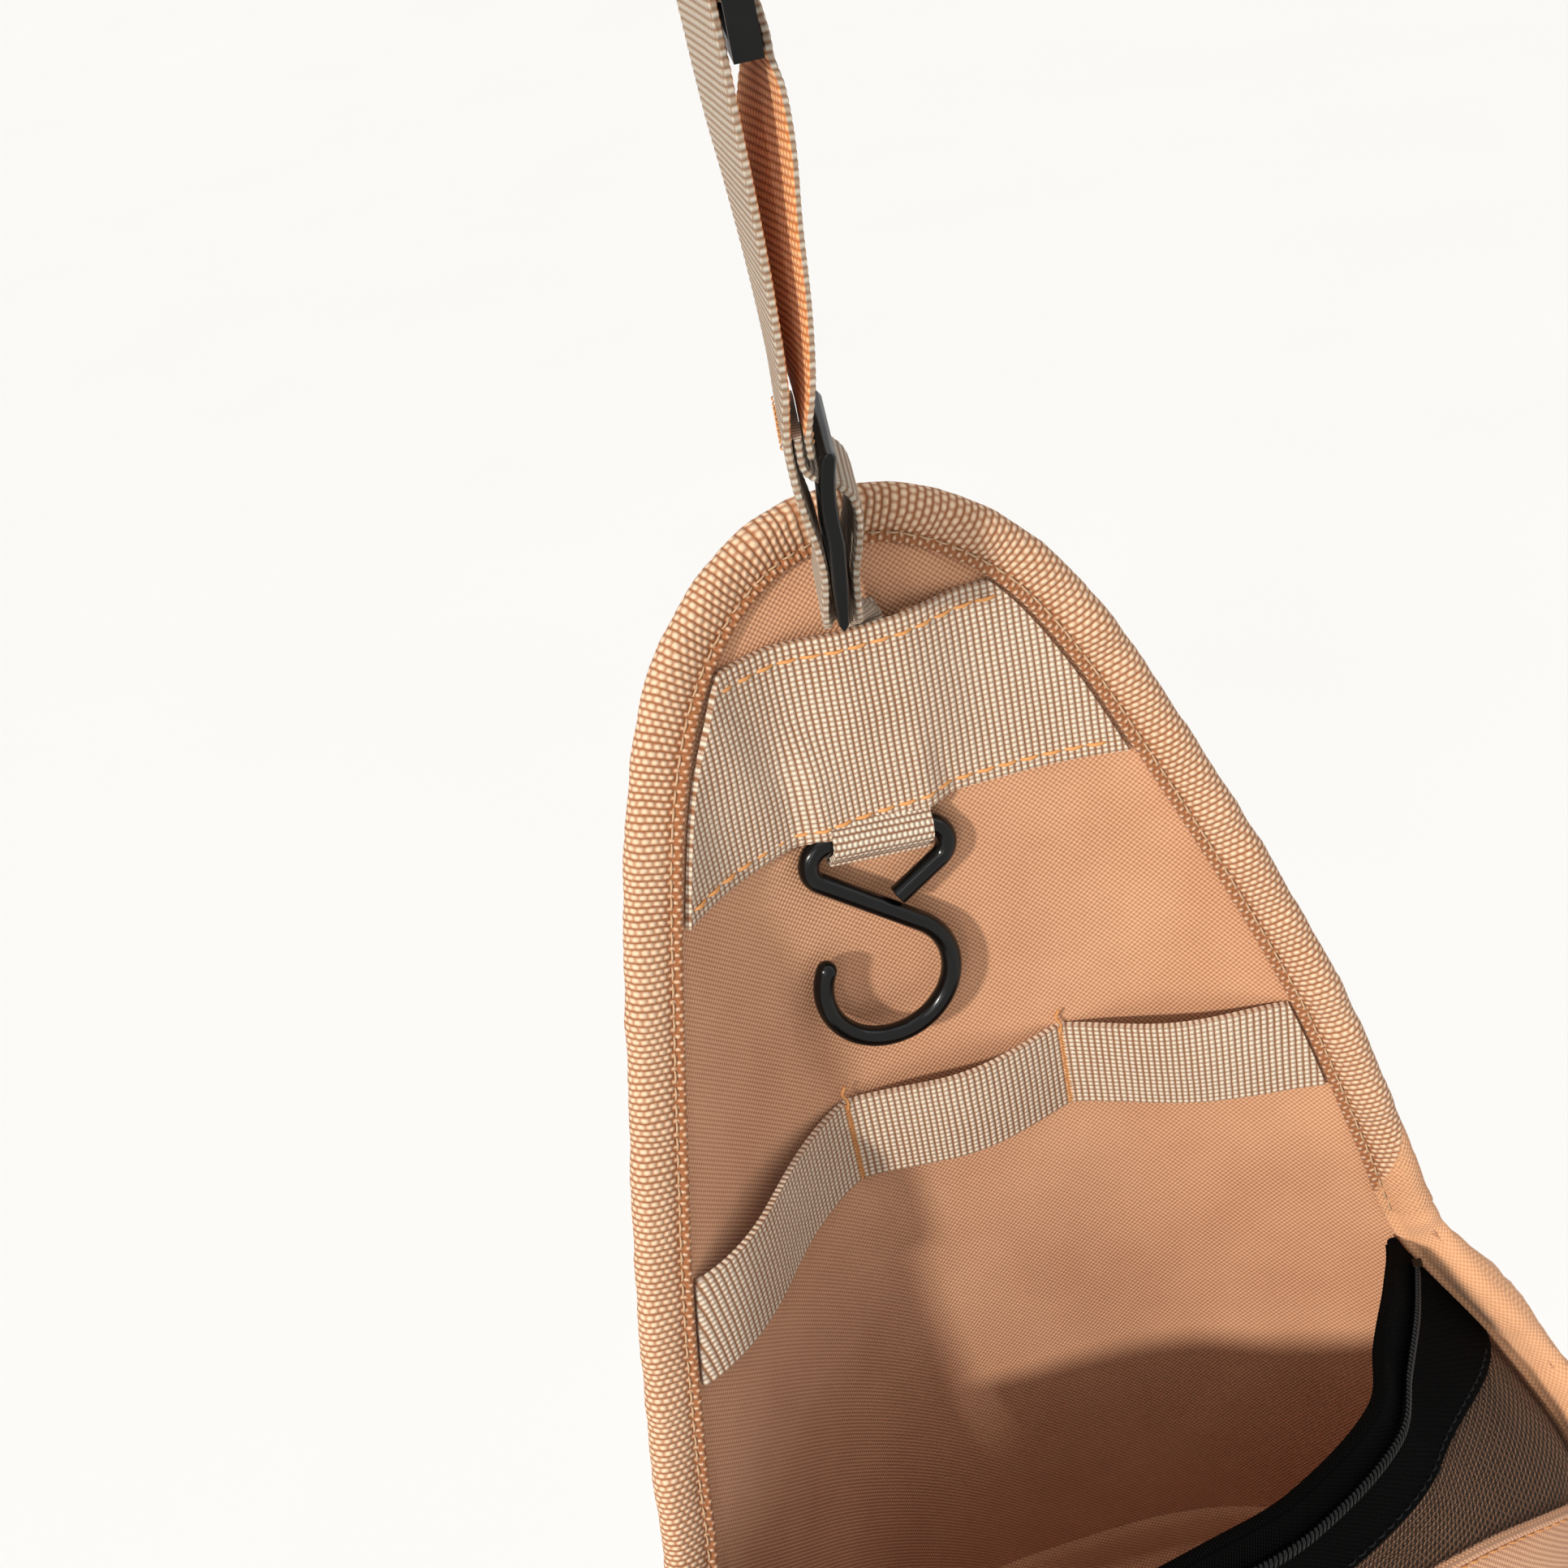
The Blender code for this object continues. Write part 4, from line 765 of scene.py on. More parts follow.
def binding():
    """Ribbed tape folded over the edge, turned to its plain side on the lower right."""
    _, loop = edge_loop(BINDING_ROWS, BINDING_COLUMNS)
    frames = edge_frames(loop)
    upper = 2 * BINDING_ROWS + BINDING_COLUMNS
    turned = [k for k, (s, z, _) in enumerate(loop[:upper]) if s > 0 and z < RIM_Z - 3 * MM]
    first, last = turned[0], turned[-1]
    ribbed = frames[last:] + frames[:first + 1]
    tape = binding_length("edge_binding_tape", ribbed, RIBBED_EDGE, 1.0)
    folds = [(z * MM, reach * MM, spread * MM) for z, reach, spread in TURNED_FOLDS]
    binding_length("edge_binding_turned", frames[first:last + 1], TAN_SMOOTH, 1.8, folds)
    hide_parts("edge_binding")
    lip = GAP + BINDING_T - 0.1 * MM
    path = [(p + o * 2.5 * MM + n * lip, n) for p, o, n, _ in ribbed]
    stitches("binding_stitches", path, 0.05 * MM, THREAD_PALE)


lining = panel_cloth("lining_cloth", 0.0, LINING_T, TAN, LINING_SWELL, ["back_lining"])
cover = panel_cloth(
    "cover_padding", -LINING_T - GAP, FOAM_T + COVER_T, TAN_BACK, 0.0, ["back_cover", "back_foam"],
)
binding()


# Webbing bands

def seat_frame():
    """Middle of the tab's seat on the panel, and the directions along it and out of it."""
    left, right = (panel_point(TAB_S + side * 0.5 * STRAP_W, 0) for side in (-1, 1))
    run = unit(right - left)
    return (left + right) / 2, run, np.array([run[1], -run[0], 0.0])


SEAT, SEAT_RUN, SEAT_OUT = seat_frame()


def seat_point(u, z, offset):
    """Point by the tab's seat: along it, up and out."""
    return SEAT + u * SEAT_RUN + offset * SEAT_OUT + z * UP


def bump_over(s, centre, half, ramp):
    """1 over a layer behind the band, falling to 0 beside it."""
    return 1 - ease((abs(s - centre) - half) / ramp)


def wide_band_point(s, z, offset):
    """Front of the wide band: flat on the panel, standing off over the strap and the tab."""
    near_tab = bump_over(s, TAB_S, 0.5 * TAB_W + 0.4 * MM, TAB_RAMP)
    near_strap = bump_over(s, STRAP_FOOT_S, 0.5 * STRAP_W * (STRAP_FOOT_WIDTH + 0.05), STRAP_RAMP)
    over_tab = OVER_TAB * near_tab * (1 - ease((z - 14 * MM) / (22 * MM)))
    over_strap = OVER_STRAP * near_strap * ease((z + 4 * MM) / (34 * MM))
    lift = (over_tab**4 + over_strap**4) ** 0.25
    return panel_point(s, z, GAP + lift + offset)


def wide_band():
    grid = []
    for rise in np.linspace(0, 1, 52):
        z = WIDE_BAND_H * rise
        end = half_width(z) - BAND_END_INSET
        slack = sin(pi * rise) ** 0.5
        thick = BAND_T - (BAND_EDGE if rise in (0, 1) else 0.0)
        row = []
        for s in np.linspace(-end, end, 170):
            crease = CREASE_H * exp(-(((s - CREASE_S + 0.25 * z) / CREASE_SPREAD) ** 2)) * slack
            wave = BAND_WAVE * (1 + ripple(s, z, 0.8, 1.0) * slack) + crease
            rib = BAND_RIB * abs(sin(pi * s / RIB))
            row.append((wide_band_point(s, z, thick + wave + rib), wide_band_point(s, z, wave * 0.8), (s, z)))
        grid.append(row)
    piece = shell("wide_band_webbing", grid, RIBBED, rests_on=["lining_cloth"])
    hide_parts("wide_band")
    for name, z in (("wide_band_stitch_top", WIDE_BAND_H - 4 * MM), ("wide_band_stitch_low", 3.2 * MM)):
        end = half_width(z) - BAND_END_INSET - 1 * MM
        path = [(wide_band_point(s, z, BAND_T + 0.3 * MM), forward(s)) for s in np.linspace(-end, end, 120)]
        stitches(name, path, 0.15 * MM, THREAD, length=4.6 * MM, space=0.6 * MM, radius=0.5 * MM)


def slot_depth(s, end):
    """How far the slotted band stands off the panel."""
    edges = (-end, SEAM_LEFT, SEAM_RIGHT, end)
    for start, stop, depth, lean in zip(edges, edges[1:], SLOT_DEPTHS, SLOT_LEANS):
        if start <= s <= stop:
            return depth * max(sin(pi * ((s - start) / (stop - start)) ** lean), 0.0) ** 1.1
    return 0.0


def utensil_band():
    grid = []
    for rise in np.linspace(0, 1, 22):
        z = UTENSIL_BAND_TOP - UTENSIL_BAND_H * (1 - rise)
        end = half_width(z) - BAND_END_INSET
        sway = 1 + SLOT_SWAY * sin(pi * rise)
        stations = np.linspace(-end, end, 260)
        line = np.array([panel_point(s, z, GAP + sway * slot_depth(s, end)) for s in stations])
        out = directions(line)[:, [1, 0, 2]] * (1, -1, 0)
        thick = BAND_T + BAND_RIB * np.abs(np.sin(pi * stations / RIB))
        grid.append(list(zip(line + out * thick[:, None], line, ((s, z) for s in stations))))
    piece = shell("utensil_band_webbing", grid, RIBBED, rests_on=["lining_cloth"])
    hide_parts("utensil_band")


def slot_seam(name, seam):
    """Bar tack across the slotted band, with a loose end of thread above it."""
    half = 0.5 * BAR_TACK_PITCH
    zigzag = [
        panel_point(
            seam + BAR_TACK_W * (k % 2 - 0.5), UTENSIL_BAND_TOP - UTENSIL_BAND_H + half * (k + 1),
            GAP + BAND_T + 0.3 * MM,
        )
        for k in range(int(UTENSIL_BAND_H / half) - 1)
    ]
    tube(name, zigzag, 0.32 * MM, THREAD, sides=6)
    tail = [
        panel_point(seam + dx * MM, UTENSIL_BAND_TOP + dz * MM, GAP + (0.6 + lift) * MM)
        for dx, dz, lift in ((0, -1.5, 1.4), (0.3, 0.8, 1.4), (-0.6, 3.0, 1.0), (0.4, 5.2, 1.3))
    ]
    tube(name + "_tail", smooth_curve(tail, 10), 0.35 * MM, THREAD, sides=6)


wide_band()
utensil_band()
slot_seam("slot_seam_left", SEAM_LEFT)
slot_seam("slot_seam_right", SEAM_RIGHT)


# Hook tab and S-hook

WIRE_OFFSET = 2 * GAP + TAB_T + HOOK_WIRE / 2  # from the panel to the middle of the hook's wire


def tab_path():
    """Middle line of the tab's webbing as (offset, z): up behind, round the wire and back."""
    behind = GAP + TAB_T / 2
    in_front = 2 * GAP + 1.5 * TAB_T
    round_wire = HOOK_WIRE / 2 + GAP + TAB_T / 2 + 0.1 * MM
    fold_z = -TAB_DROP + TAB_T / 2 + TAB_FOLD_R
    path = [
        *((behind, z) for z in (TAB_TUCK, 0.4 * TAB_TUCK, HOOK_Z, fold_z)),
        *on_arc(behind + TAB_FOLD_R, fold_z, TAB_FOLD_R, TAB_FOLD_R, (225, 270, 315, 360)),
        *on_arc(WIRE_OFFSET, HOOK_Z, round_wire, round_wire, (-38, -5, 30)),
        (WIRE_OFFSET + 0.45 * round_wire, HOOK_Z + 1.1 * round_wire),
        (0.5 * (WIRE_OFFSET + in_front) + 0.9 * MM, 0.22 * TAB_TUCK),
        (in_front + 0.3 * MM, 0.5 * TAB_TUCK), (in_front, 0.7 * TAB_TUCK), (in_front, TAB_TUCK),
    ]
    return smooth_curve(path, 130)


def hook_tab():
    path = tab_path()
    grid = []
    for (offset, z), (out, up), length in zip(path, directions(path), path_lengths(path)):
        faces = 0.5 * TAB_T * (1 + 0.16 * abs(sin(pi * length / RIB))), -0.49 * TAB_T
        tilt = tan(HOOK_TILT) * (1 - share(z, 0, TAB_TUCK))
        shift = (HOOK_Z - z) * tilt
        grid.append([
            (*(seat_point(u + shift, z + u * tilt - out * t, offset + up * t) for t in faces), (length, u))
            for u in np.linspace(-0.5, 0.5, 26) * TAB_W
        ])
    piece = shell("hook_tab_webbing", grid, RIBBED_TAB, held="folded")
    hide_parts("hook_tab")


def heading_vector(heading):
    return np.array([cos(heading), sin(heading)])


def arc_steps(place, heading, radius, turn, count):
    """Points of an arc from a place, where it ends and its heading there."""
    towards = heading + (pi / 2 if turn > 0 else -pi / 2)
    centre = place + radius * heading_vector(towards)
    turn = radians(turn)
    points = [centre - radius * heading_vector(towards + turn * k / count) for k in range(1, count + 1)]
    return points, points[-1], heading + turn


def hook_line():
    """The wire's middle line in its own plane, as (x, z), and its radius at each point."""
    start = np.array([HOOK_EYE_SPAN / 2, 0.0])
    right, place, heading = arc_steps(start, 0.0, HOOK_EYE_RADIUS, -HOOK_RETURN_TURN, 24)
    back_run = [place + HOOK_RETURN * t * heading_vector(heading) for t in (1.0, 0.985, 0.75, 0.5, 0.25)]
    left, place, heading = arc_steps(-start, pi, HOOK_EYE_RADIUS, HOOK_EYE_TURN, 24)
    shank = [place + HOOK_SHANK * t * heading_vector(heading) for t in (0.2, 0.4, 0.6, 0.8, 1.0)]
    bowl, end, heading = arc_steps(shank[-1], heading, HOOK_BOWL_RADIUS, -HOOK_BOWL_TURN, 70)
    top = [start * (1 - 2 * t) for t in (0.25, 0.5, 0.75, 1.0)]
    line = [*back_run, *reversed(right), *top, *left, *shank, *bowl]
    radii = [HOOK_WIRE / 2 - 0.35 * MM] + [HOOK_WIRE / 2] * (len(line) - 1)
    for k in range(1, 9):
        a = pi / 2 * k / 8.2
        line.append(end + heading_vector(heading) * HOOK_WIRE / 2 * sin(a))
        radii.append(HOOK_WIRE / 2 * cos(a))
    return line, radii


def s_hook():
    line, radii = hook_line()
    pivot = seat_point(HOOK_S, HOOK_Z + HOOK_S * tan(HOOK_TILT), WIRE_OFFSET) + PANEL_AT
    turn = (
        Matrix.Rotation(atan2(SEAT_RUN[1], SEAT_RUN[0]), 4, "Z")
        @ Matrix.Rotation(-HOOK_TILT, 4, "Y") @ Matrix.Rotation(-HOOK_SWING, 4, "X")
    )
    placed = [tuple(Vector(pivot) + turn @ Vector((x, 0.0, z))) for x, z in line]
    piece = tube("hook_wire", placed, radii, BLACK_METAL, sides=20, body="hook", slot="black_metal", origin=0)
    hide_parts("s_hook")


hook_tab()
s_hook()


# Pocket

FRONT_LINE = smooth_curve(in_mm(POCKET_FRONT), 200)
RIM_LINE = smooth_curve([*RIM_PLAN, *((-c, s) for c, s in reversed(RIM_PLAN[:-1]))], 361)


def seam_point(side, z):
    """Where the pocket's wall meets the panel, on the left (-1) or right (1)."""
    s = side * (half_width(z) - SEAM_INSET)
    low = share(-z, -OUTLINE[0, 0] - BINDING_REACH, -OUTLINE[0, 0])
    return panel_point(s, z, GAP + WALL_T + low * (BINDING_T + GAP))


def wall_plan(t, z):
    """Point of the pocket's wall at a share of the way round it, from the left seam to the right one."""
    left, right = seam_point(-1, z), seam_point(1, z)
    oval = share(-z, -RIM_Z, -FULL_PLAN_Z)
    rim = along_path(t * (len(RIM_LINE) - 1), range(len(RIM_LINE)), RIM_LINE)
    c, s = (1 - oval) * rim + oval * np.array([-cos(pi * t), sin(pi * t)])
    middle = (left + right) / 2
    place = middle + (right - left) / 2 * c
    place[1] -= (middle[1] + np.interp(z, FRONT_LINE[:, 0], FRONT_LINE[:, 1])) * s
    return place


def wall_out(t, z):
    """Direction out of the pocket's wall."""
    run = wall_plan(min(t + FOLLOW, 1), z) - wall_plan(max(t - FOLLOW, 0), z)
    return unit(np.array([run[1], -run[0], 0]))


def wall_point(t, z, offset=0.0):
    return wall_plan(t, z) + offset * wall_out(t, z)


def side_share(t):
    return abs(cos(pi * t))


def rim_top(t):
    return RIM_Z - (RIM_Z - RIM_END_Z) * side_share(t) ** 12


def coil_line(t):
    return COIL_Z - (RIM_Z - RIM_END_Z) * 0.6 * side_share(t) ** 12


def band_bottom(t):
    return COIL_Z - RIM_BAND_DROP - RIM_BAND_SIDE_DROP * side_share(t) ** 6


def mesh_bottom(t):
    return COIL_Z - MESH_FRONT_DROP - MESH_SIDE_DROP * side_share(t) ** 3.1


def level(z):
    """Height that is the same all round."""
    return lambda t: z


def below(line, drop):
    return lambda t: line(t) - drop


def wall_path(height, offset, start, count=200):
    """Points along the pocket's wall at a height, each with its outward direction."""
    stations = np.linspace(start, 1 - start, count)
    return [(wall_point(t, height(t), offset), wall_out(t, height(t))) for t in stations]


def wall_cloth(name, top, bottom, offset, thickness, rows, cad=None, start=TAPE_END, sag=0.0, **look):
    """Cloth of the pocket between two heights, with soft folds that fade at its edges."""
    stations = np.linspace(start, 1 - start, WALL_COLUMNS)
    grid = []
    for rise in np.linspace(0, 1, rows):
        fade = sin(pi * rise) ** 0.7
        heights = [bottom(t) + (top(t) - bottom(t)) * rise for t in stations]
        places = np.array([wall_plan(t, z) for t, z in zip(stations, heights)])
        row = []
        for t, z, place, length in zip(stations, heights, places, path_lengths(places[:, :2])):
            out = wall_out(t, z)
            near = offset + sag * fade * ripple(length, z, 1.1, 0.4)
            row.append((place + out * (near + thickness), place + out * near, (length, z)))
        grid.append(row)
    piece = shell(name, grid, **look)
    if cad:
        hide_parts(cad)


def zip_teeth():
    """Nylon coil: two rows of loops that meet along the middle."""
    path = wall_path(coil_line, OUTER_WALL + ZIP_TAPE_T + 1.1 * MM, ZIP_END, 900)
    centres, outs = (np.array(column) for column in zip(*path))
    lengths = path_lengths(centres)
    line = []
    for d in np.linspace(0, lengths[-1], int(lengths[-1] / TOOTH * 8)):
        a = 2 * pi * d / TOOTH
        swing = along_path(d, lengths, outs) * TOOTH_SWING * cos(a)
        line.append(along_path(d, lengths, centres) + swing + UP * TOOTH_RISE * sin(a))
    piece = tube("zip_teeth", line, TOOTH_WIRE, TEETH, sides=6, slot="black_plastic")
    tube("zip_cord", centres[::6], CORD_R, THREAD_DARK, sides=8, slot="black_plastic")
    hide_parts("zip_coil")


def pocket():
    """Layers of the wall from the inside out, then the zip, the rolled edges and the seams."""
    cloth = {"material": TAN, "slot": "tan_oxford"}
    tape = {"material": BLACK_TAPE, "slot": "black_tape"}
    outer, low, foot = OUTER_WALL, level(BASE_Z + GAP), BASE_Z - GAP - WALL_T
    wall_cloth(
        "inner_wall_cloth", rim_top, low, 0.0, WALL_T, 60, "pocket_wall", INNER_END, sag=0.35 * MM, **cloth,
    )
    coil_top, coil_low = below(coil_line, -0.1 * MM), below(coil_line, 0.1 * MM)
    wall_cloth("zip_tape_top", rim_top, coil_top, outer, ZIP_TAPE_T, 8, "zip_tape_upper", **tape)
    wall_cloth("rim_band_tape", coil_low, band_bottom, outer, TRIM_T, 14, "rim_band", sag=0.2 * MM, **tape)
    wall_cloth(
        "mesh_cloth", below(band_bottom, GAP), mesh_bottom, outer, MESH_T, 34, "mesh_panel", sag=SAG,
        material=MESH, slot="black_mesh",
    )
    wall_cloth(
        "lower_wall_cloth", below(mesh_bottom, GAP), low, outer, WALL_T, 50, "lower_wall", sag=SAG, **cloth,
    )
    wall_cloth(
        "base_piping_tape", level(foot + PIPING_H), level(foot), outer + WALL_T + 0.8 * MM, BINDING_T, 8,
        "base_piping", material=RIBBED_PIPING,
    )
    zip_teeth()
    facing_top, facing_low = below(rim_top, -0.2 * MM), below(rim_top, 9 * MM)
    wall_cloth("rim_facing", facing_top, facing_low, -0.2 * MM - TRIM_T, TRIM_T, 6, start=FACING_END, **tape)
    for name, height, offset, radius, start, look in (
        ("rim_roll", rim_top, 0.5 * outer, 0.5 * outer + 0.6 * MM, ROLL_END, tape),
        ("lower_wall_roll", below(mesh_bottom, 0.3 * MM), outer + 0.6 * WALL_T, 1.5 * MM, TAPE_END, cloth),
    ):
        tube(name, [place for place, _ in wall_path(height, offset, start, 260)], radius, **look)
    path = wall_path(below(band_bottom, -1.6 * MM), outer + TRIM_T, ZIP_END)
    stitches("rim_stitch", path, 0.05 * MM, THREAD_DARK, length=2.6 * MM, space=0.8 * MM)
    path = wall_path(below(mesh_bottom, 2.0 * MM), outer + WALL_T, ZIP_END + 0.01)
    stitches("wall_top_stitch", path, 0.35 * MM, THREAD)


def dish(name, front, back, uv):
    """Closed tan cloth between two stacks of rings, whose last ring is filled in."""
    rows, count = front.shape[:2]
    total = rows * count
    faces = [*grid_faces(rows, count, looped=True), tuple(range(total - count, total))]
    points = np.concatenate([front.reshape(-1, 3), back.reshape(-1, 3)])
    return fix_normals(add_piece(name, points, thicken(faces, total), TAN, uv=uv, slot="tan_oxford"))


def base_ring(z, back_offset, wall_offset, inset, columns, stations):
    """Loop along the panel at a height and back round the pocket's wall."""
    w = half_width(z) - inset
    loop = [panel_point(s, z, back_offset) for s in np.linspace(-w, w, columns)]
    return np.array(loop + [wall_point(t, z, wall_offset) for t in stations])


def base_cloth():
    """Flat sheet with the pocket's plan, as rings drawn in towards its middle."""
    low = BASE_Z - GAP - WALL_T
    ring = base_ring(BASE_Z, BASE_BACK, WALL_T + OUTER_WALL, SEAM_INSET, 41, np.linspace(0.96, 0.04, 80))
    loop = ring[:, :2]
    middle = loop.mean(axis=0)
    front, back = [], []
    for r in (1.0, 0.85, 0.65, 0.4, 0.15):
        ring = middle + (loop - middle) * r
        wave = np.array([0.25 * MM * ripple(x, y, 1.0) * ease((1 - r) * 6) for x, y in ring])
        front.append(np.c_[ring, low + WALL_T + wave])
        back.append(np.c_[ring, low + wave * 0.5])
    uv = np.concatenate(front)[:, :2]
    piece = dish("base_cloth", np.array(front), np.array(back), np.concatenate([uv, uv]))
    declare_cloth(piece, *np.ptp(loop, axis=0), "stretched")
    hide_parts("base_panel")


def floor_tray():
    """Cloth floor inside the pocket: flat in the middle and turned up against the walls."""
    top, bend, low = BASE_Z + TRAY_H, BASE_Z + 4 * MM, BASE_Z + GAP + 0.9 * MM
    inner = []
    for z, back, front, scale in (
        (top, 0.5 * MM, -0.5 * MM, 1.0),
        *((z, BASE_BACK + 1.2 * MM, -0.8 * MM, 1.0) for z in (top - 3 * MM, bend)),
        (low + 0.8 * MM, BASE_BACK + 1.8 * MM, -1.6 * MM, 0.995),
        *((low, BASE_BACK + 2 * MM, -2 * MM, scale) for scale in (0.96, 0.75, 0.45, 0.15)),
    ):
        loop = base_ring(z, back, front, SEAM_INSET + 1.5 * MM, 51, np.linspace(0.965, 0.035, 90))
        middle = loop.mean(axis=0)
        ring = middle + (loop - middle) * scale
        ring[:, 2] = [z + 0.3 * MM * ripple(x, y, 1.0) * (scale < 0.9) for x, y, _ in ring]
        inner.append(ring)
    inner = np.array(inner)
    outer = inner.copy()
    outer[:4] += (inner[:4] - inner[0].mean(axis=0)) * (0.004, 0.004, 0)
    outer[3:, :, 2] -= TRAY_T
    x, y, z = np.concatenate([inner, outer]).reshape(-1, 3).T
    piece = dish("floor_cloth", inner, outer, np.c_[x, y + z])
    size = np.ptp(inner.reshape(-1, 3), axis=0)[:2] + 2 * (top - low)
    declare_cloth(piece, *size, "laid", ["base_cloth"])
    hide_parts("base_board")


pocket()
base_cloth()
floor_tray()


# Strap

def webbing_frames(line):
    """Place, direction across the webbing and outward direction, from (x, y, z, turn) in mm and degrees."""
    last = len(line) - 1
    frames = []
    for k, (*place, turn) in enumerate(line):
        side = np.array([sin(radians(turn)), cos(radians(turn)), 0.0])
        normal = np.cross((line[min(k + 1, last)] - line[max(k - 1, 0)])[:3], side)
        frames.append((in_mm(place), side, unit(normal)))
    return frames


def twist(side, stations):
    """Start of the strap: flat behind the wide band, then turned edge-on as it comes out."""
    apart = (STRAP_T + GAP) / MM
    x, y = panel_point(STRAP_FOOT_S, 0, 3 * GAP + STRAP_T)[:2] / MM
    run = across(STRAP_FOOT_S)
    flat = degrees(atan2(run[0], run[1]))
    tucked = (STRAP_TUCK_Z, 0.5 * (STRAP_TUCK_Z + STRAP_EXIT_Z), STRAP_EXIT_Z - 2 * MM)
    middle = smooth_curve([
        *((x, y, z / MM, flat, apart) for z in tucked),
        (x - 1.8, -6.4, 53.5, 66, apart), (-3.4, -10.6, 57.5, 40, apart + 0.6),
        (-6.0, -15.4, 61, 27, apart + 2.4), (-7.4, -19.2, 64.3, 21, apart + 4.4),
        (-7.7, STRAP_Y / MM, 68.5, STRAP_TURN, apart + 4.6),
    ], stations)
    return [
        (place + side * 0.5 * gap * MM * normal, across_web, normal)
        for (place, across_web, normal), gap in zip(webbing_frames(middle[:, :4]), middle[:, 4])
    ]


def strand(side, knots, stations):
    """Frames of a whole strand, from behind the wide band on."""
    start = twist(side, 150)
    line = smooth_curve([(*(start[-1][0] / MM), STRAP_TURN), *knots], stations)
    return start + webbing_frames(line)[1:]


def stitch_x(layer):
    """Place of one of the three layers in the sewn joint."""
    return -12.0 + layer * (STRAP_T + GAP) / MM


def hang(*knots):
    """Knots of the strap in its own plane, from (x, z) or (x, z, turn)."""
    return [(x, STRAP_Y / MM, z, *(turn or [STRAP_TURN])) for x, z, *turn in knots]


def bar_z(upper):
    """Height of the middle of the buckle's upper or lower webbing bar."""
    if upper:
        return (FEMALE_TOP_Z - CROSSPIECE - 0.5 * BAR_WINDOW) / MM
    return (MALE_Z + CROSSPIECE + 0.5 * BAR_WINDOW) / MM


def bar_wrap(upper):
    """Knots of the webbing's turn round a bar of the buckle."""
    wrap = (BAR_T / sqrt(2) + GAP + STRAP_T / 2) / MM
    wide = wrap / cos(radians(BUCKLE_TURN))
    turns = on_arc(BUCKLE_X / MM, bar_z(upper), wide, -wrap if upper else wrap, (0, 45, 90, 135, 180))
    return hang(*((x, z, BUCKLE_TURN) for x, z in turns))


def beside(thickness):
    """Place of webbing that lies on the right of one of the buckle's halves."""
    return (BUCKLE_X + thickness / 2 + GAP + STRAP_T / 2) / MM


def loop_knots():
    """Left strand: past the sewn joint, up, over the top and down to the buckle's upper bar."""
    arch = (SUPPORT_R + STRAP_T / 2) / MM
    arch_x, arch_z = LOOP_ARCH_X / MM, (LOOP_TOP_Z - SUPPORT_R) / MM
    rise = hang(
        (-9.9, 77), (-10.2, 84), (-11.3, 91), (stitch_x(0), STITCH_LOW_Z / MM - 3),
        (stitch_x(0), STITCH_HIGH_Z / MM), (-11.1, 117, 17), (-10.9, 133, 14), (-11.3, 150, 11),
        (-11.9, 164, 8.5), (-12.3, 182, 7), (-12.9, 205, 7), (-13.9, 226, 10),
        (arch_x - arch, arch_z - 4, ARCH_TURN),
    )
    angles = (180, 150, 120, 90, 60, 30, 0)
    turns = np.interp(angles, (0, 180), (BUCKLE_TURN, ARCH_TURN))
    over = hang(*((x, z, turn) for (x, z), turn in zip(on_arc(arch_x, arch_z, arch, arch, angles), turns)))
    heights = (FEMALE_TOP_Z / MM + 1, (FEMALE_TOP_Z - CROSSPIECE) / MM + 1)
    down = hang(*((beside(BUCKLE_T) + 0.3, z, BUCKLE_TURN) for z in heights))
    return rise + over + down + bar_wrap(True)


def right_knots():
    """Right strand: from the sewn joint up to the buckle's lower bar."""
    heights = (MALE_Z / MM - 1, (MALE_Z + CROSSPIECE) / MM - 1)
    return hang(
        (stitch_x(2), STITCH_LOW_Z / MM + 1), (stitch_x(2), STITCH_HIGH_Z / MM - 1), (-7.0, 116, 11),
        (-6.6, 130, 3), (-5.9, 146, 0), (-4.4, 160, 0), (-2.9, 170, 7),
        *((beside(MALE_T) + 0.2, z, BUCKLE_TURN) for z in heights),
    ) + bar_wrap(False)


def fold_knots():
    """Lower layer: through the ladder lock and back to the sewn joint."""
    return hang(
        (-3.4, 75.5), (-2.0, 80), (-0.5, 86.5), (-1.0, 91), (-2.9, 94.0), (-5.6, 96.3), (-8.4, 98.4),
        (stitch_x(1), STITCH_LOW_Z / MM), (stitch_x(1), STITCH_HIGH_Z / MM),
    )


def paint_light_on_inner_faces(piece, low, high, side):
    """Gives the inner face of a strand a brighter, warmer material: painted light for the light that comes
    through the webbing and bounces between the strands.
    """
    piece.data.materials.append(STRAP_INSIDE_PAINTED_LIGHT)
    for polygon in piece.data.polygons:
        if low < polygon.center.z < high and side * polygon.normal.x > 0.5:
            polygon.material_index = 1


def strap_piece(name, frames, cad, body="bag"):
    """Webbing with real ribs across it and a rounded, beaded edge."""
    half_profile = [(0.1, 1.0), (0.25, 1.0), (0.40, 1.0), (0.47, 0.92), (0.5, 0.55)]
    profile = [(-u, v) for u, v in reversed(half_profile)] + half_profile
    grid = []
    for (place, side, normal), length in zip(frames, path_lengths([frame[0] for frame in frames])):
        rib = abs(sin(pi * length / RIB)) ** 0.7
        half = 0.5 * STRAP_T * (0.86 + 0.16 * rib)
        spread = ease((place[2] - PINCH_TOP_Z) / PINCH_RAMP)
        wide = STRAP_W * (0.988 + 0.012 * rib) * (STRAP_FOOT_WIDTH + (1 - STRAP_FOOT_WIDTH) * spread)
        grid.append([
            (*(place + side * wide * u + normal * v * t for t in (half, -half)), (length, u * STRAP_W))
            for u, v in profile
        ])
    piece = shell(name, grid, RIBBED_STRAP, held="hung", body=body)
    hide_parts(cad)
    return piece


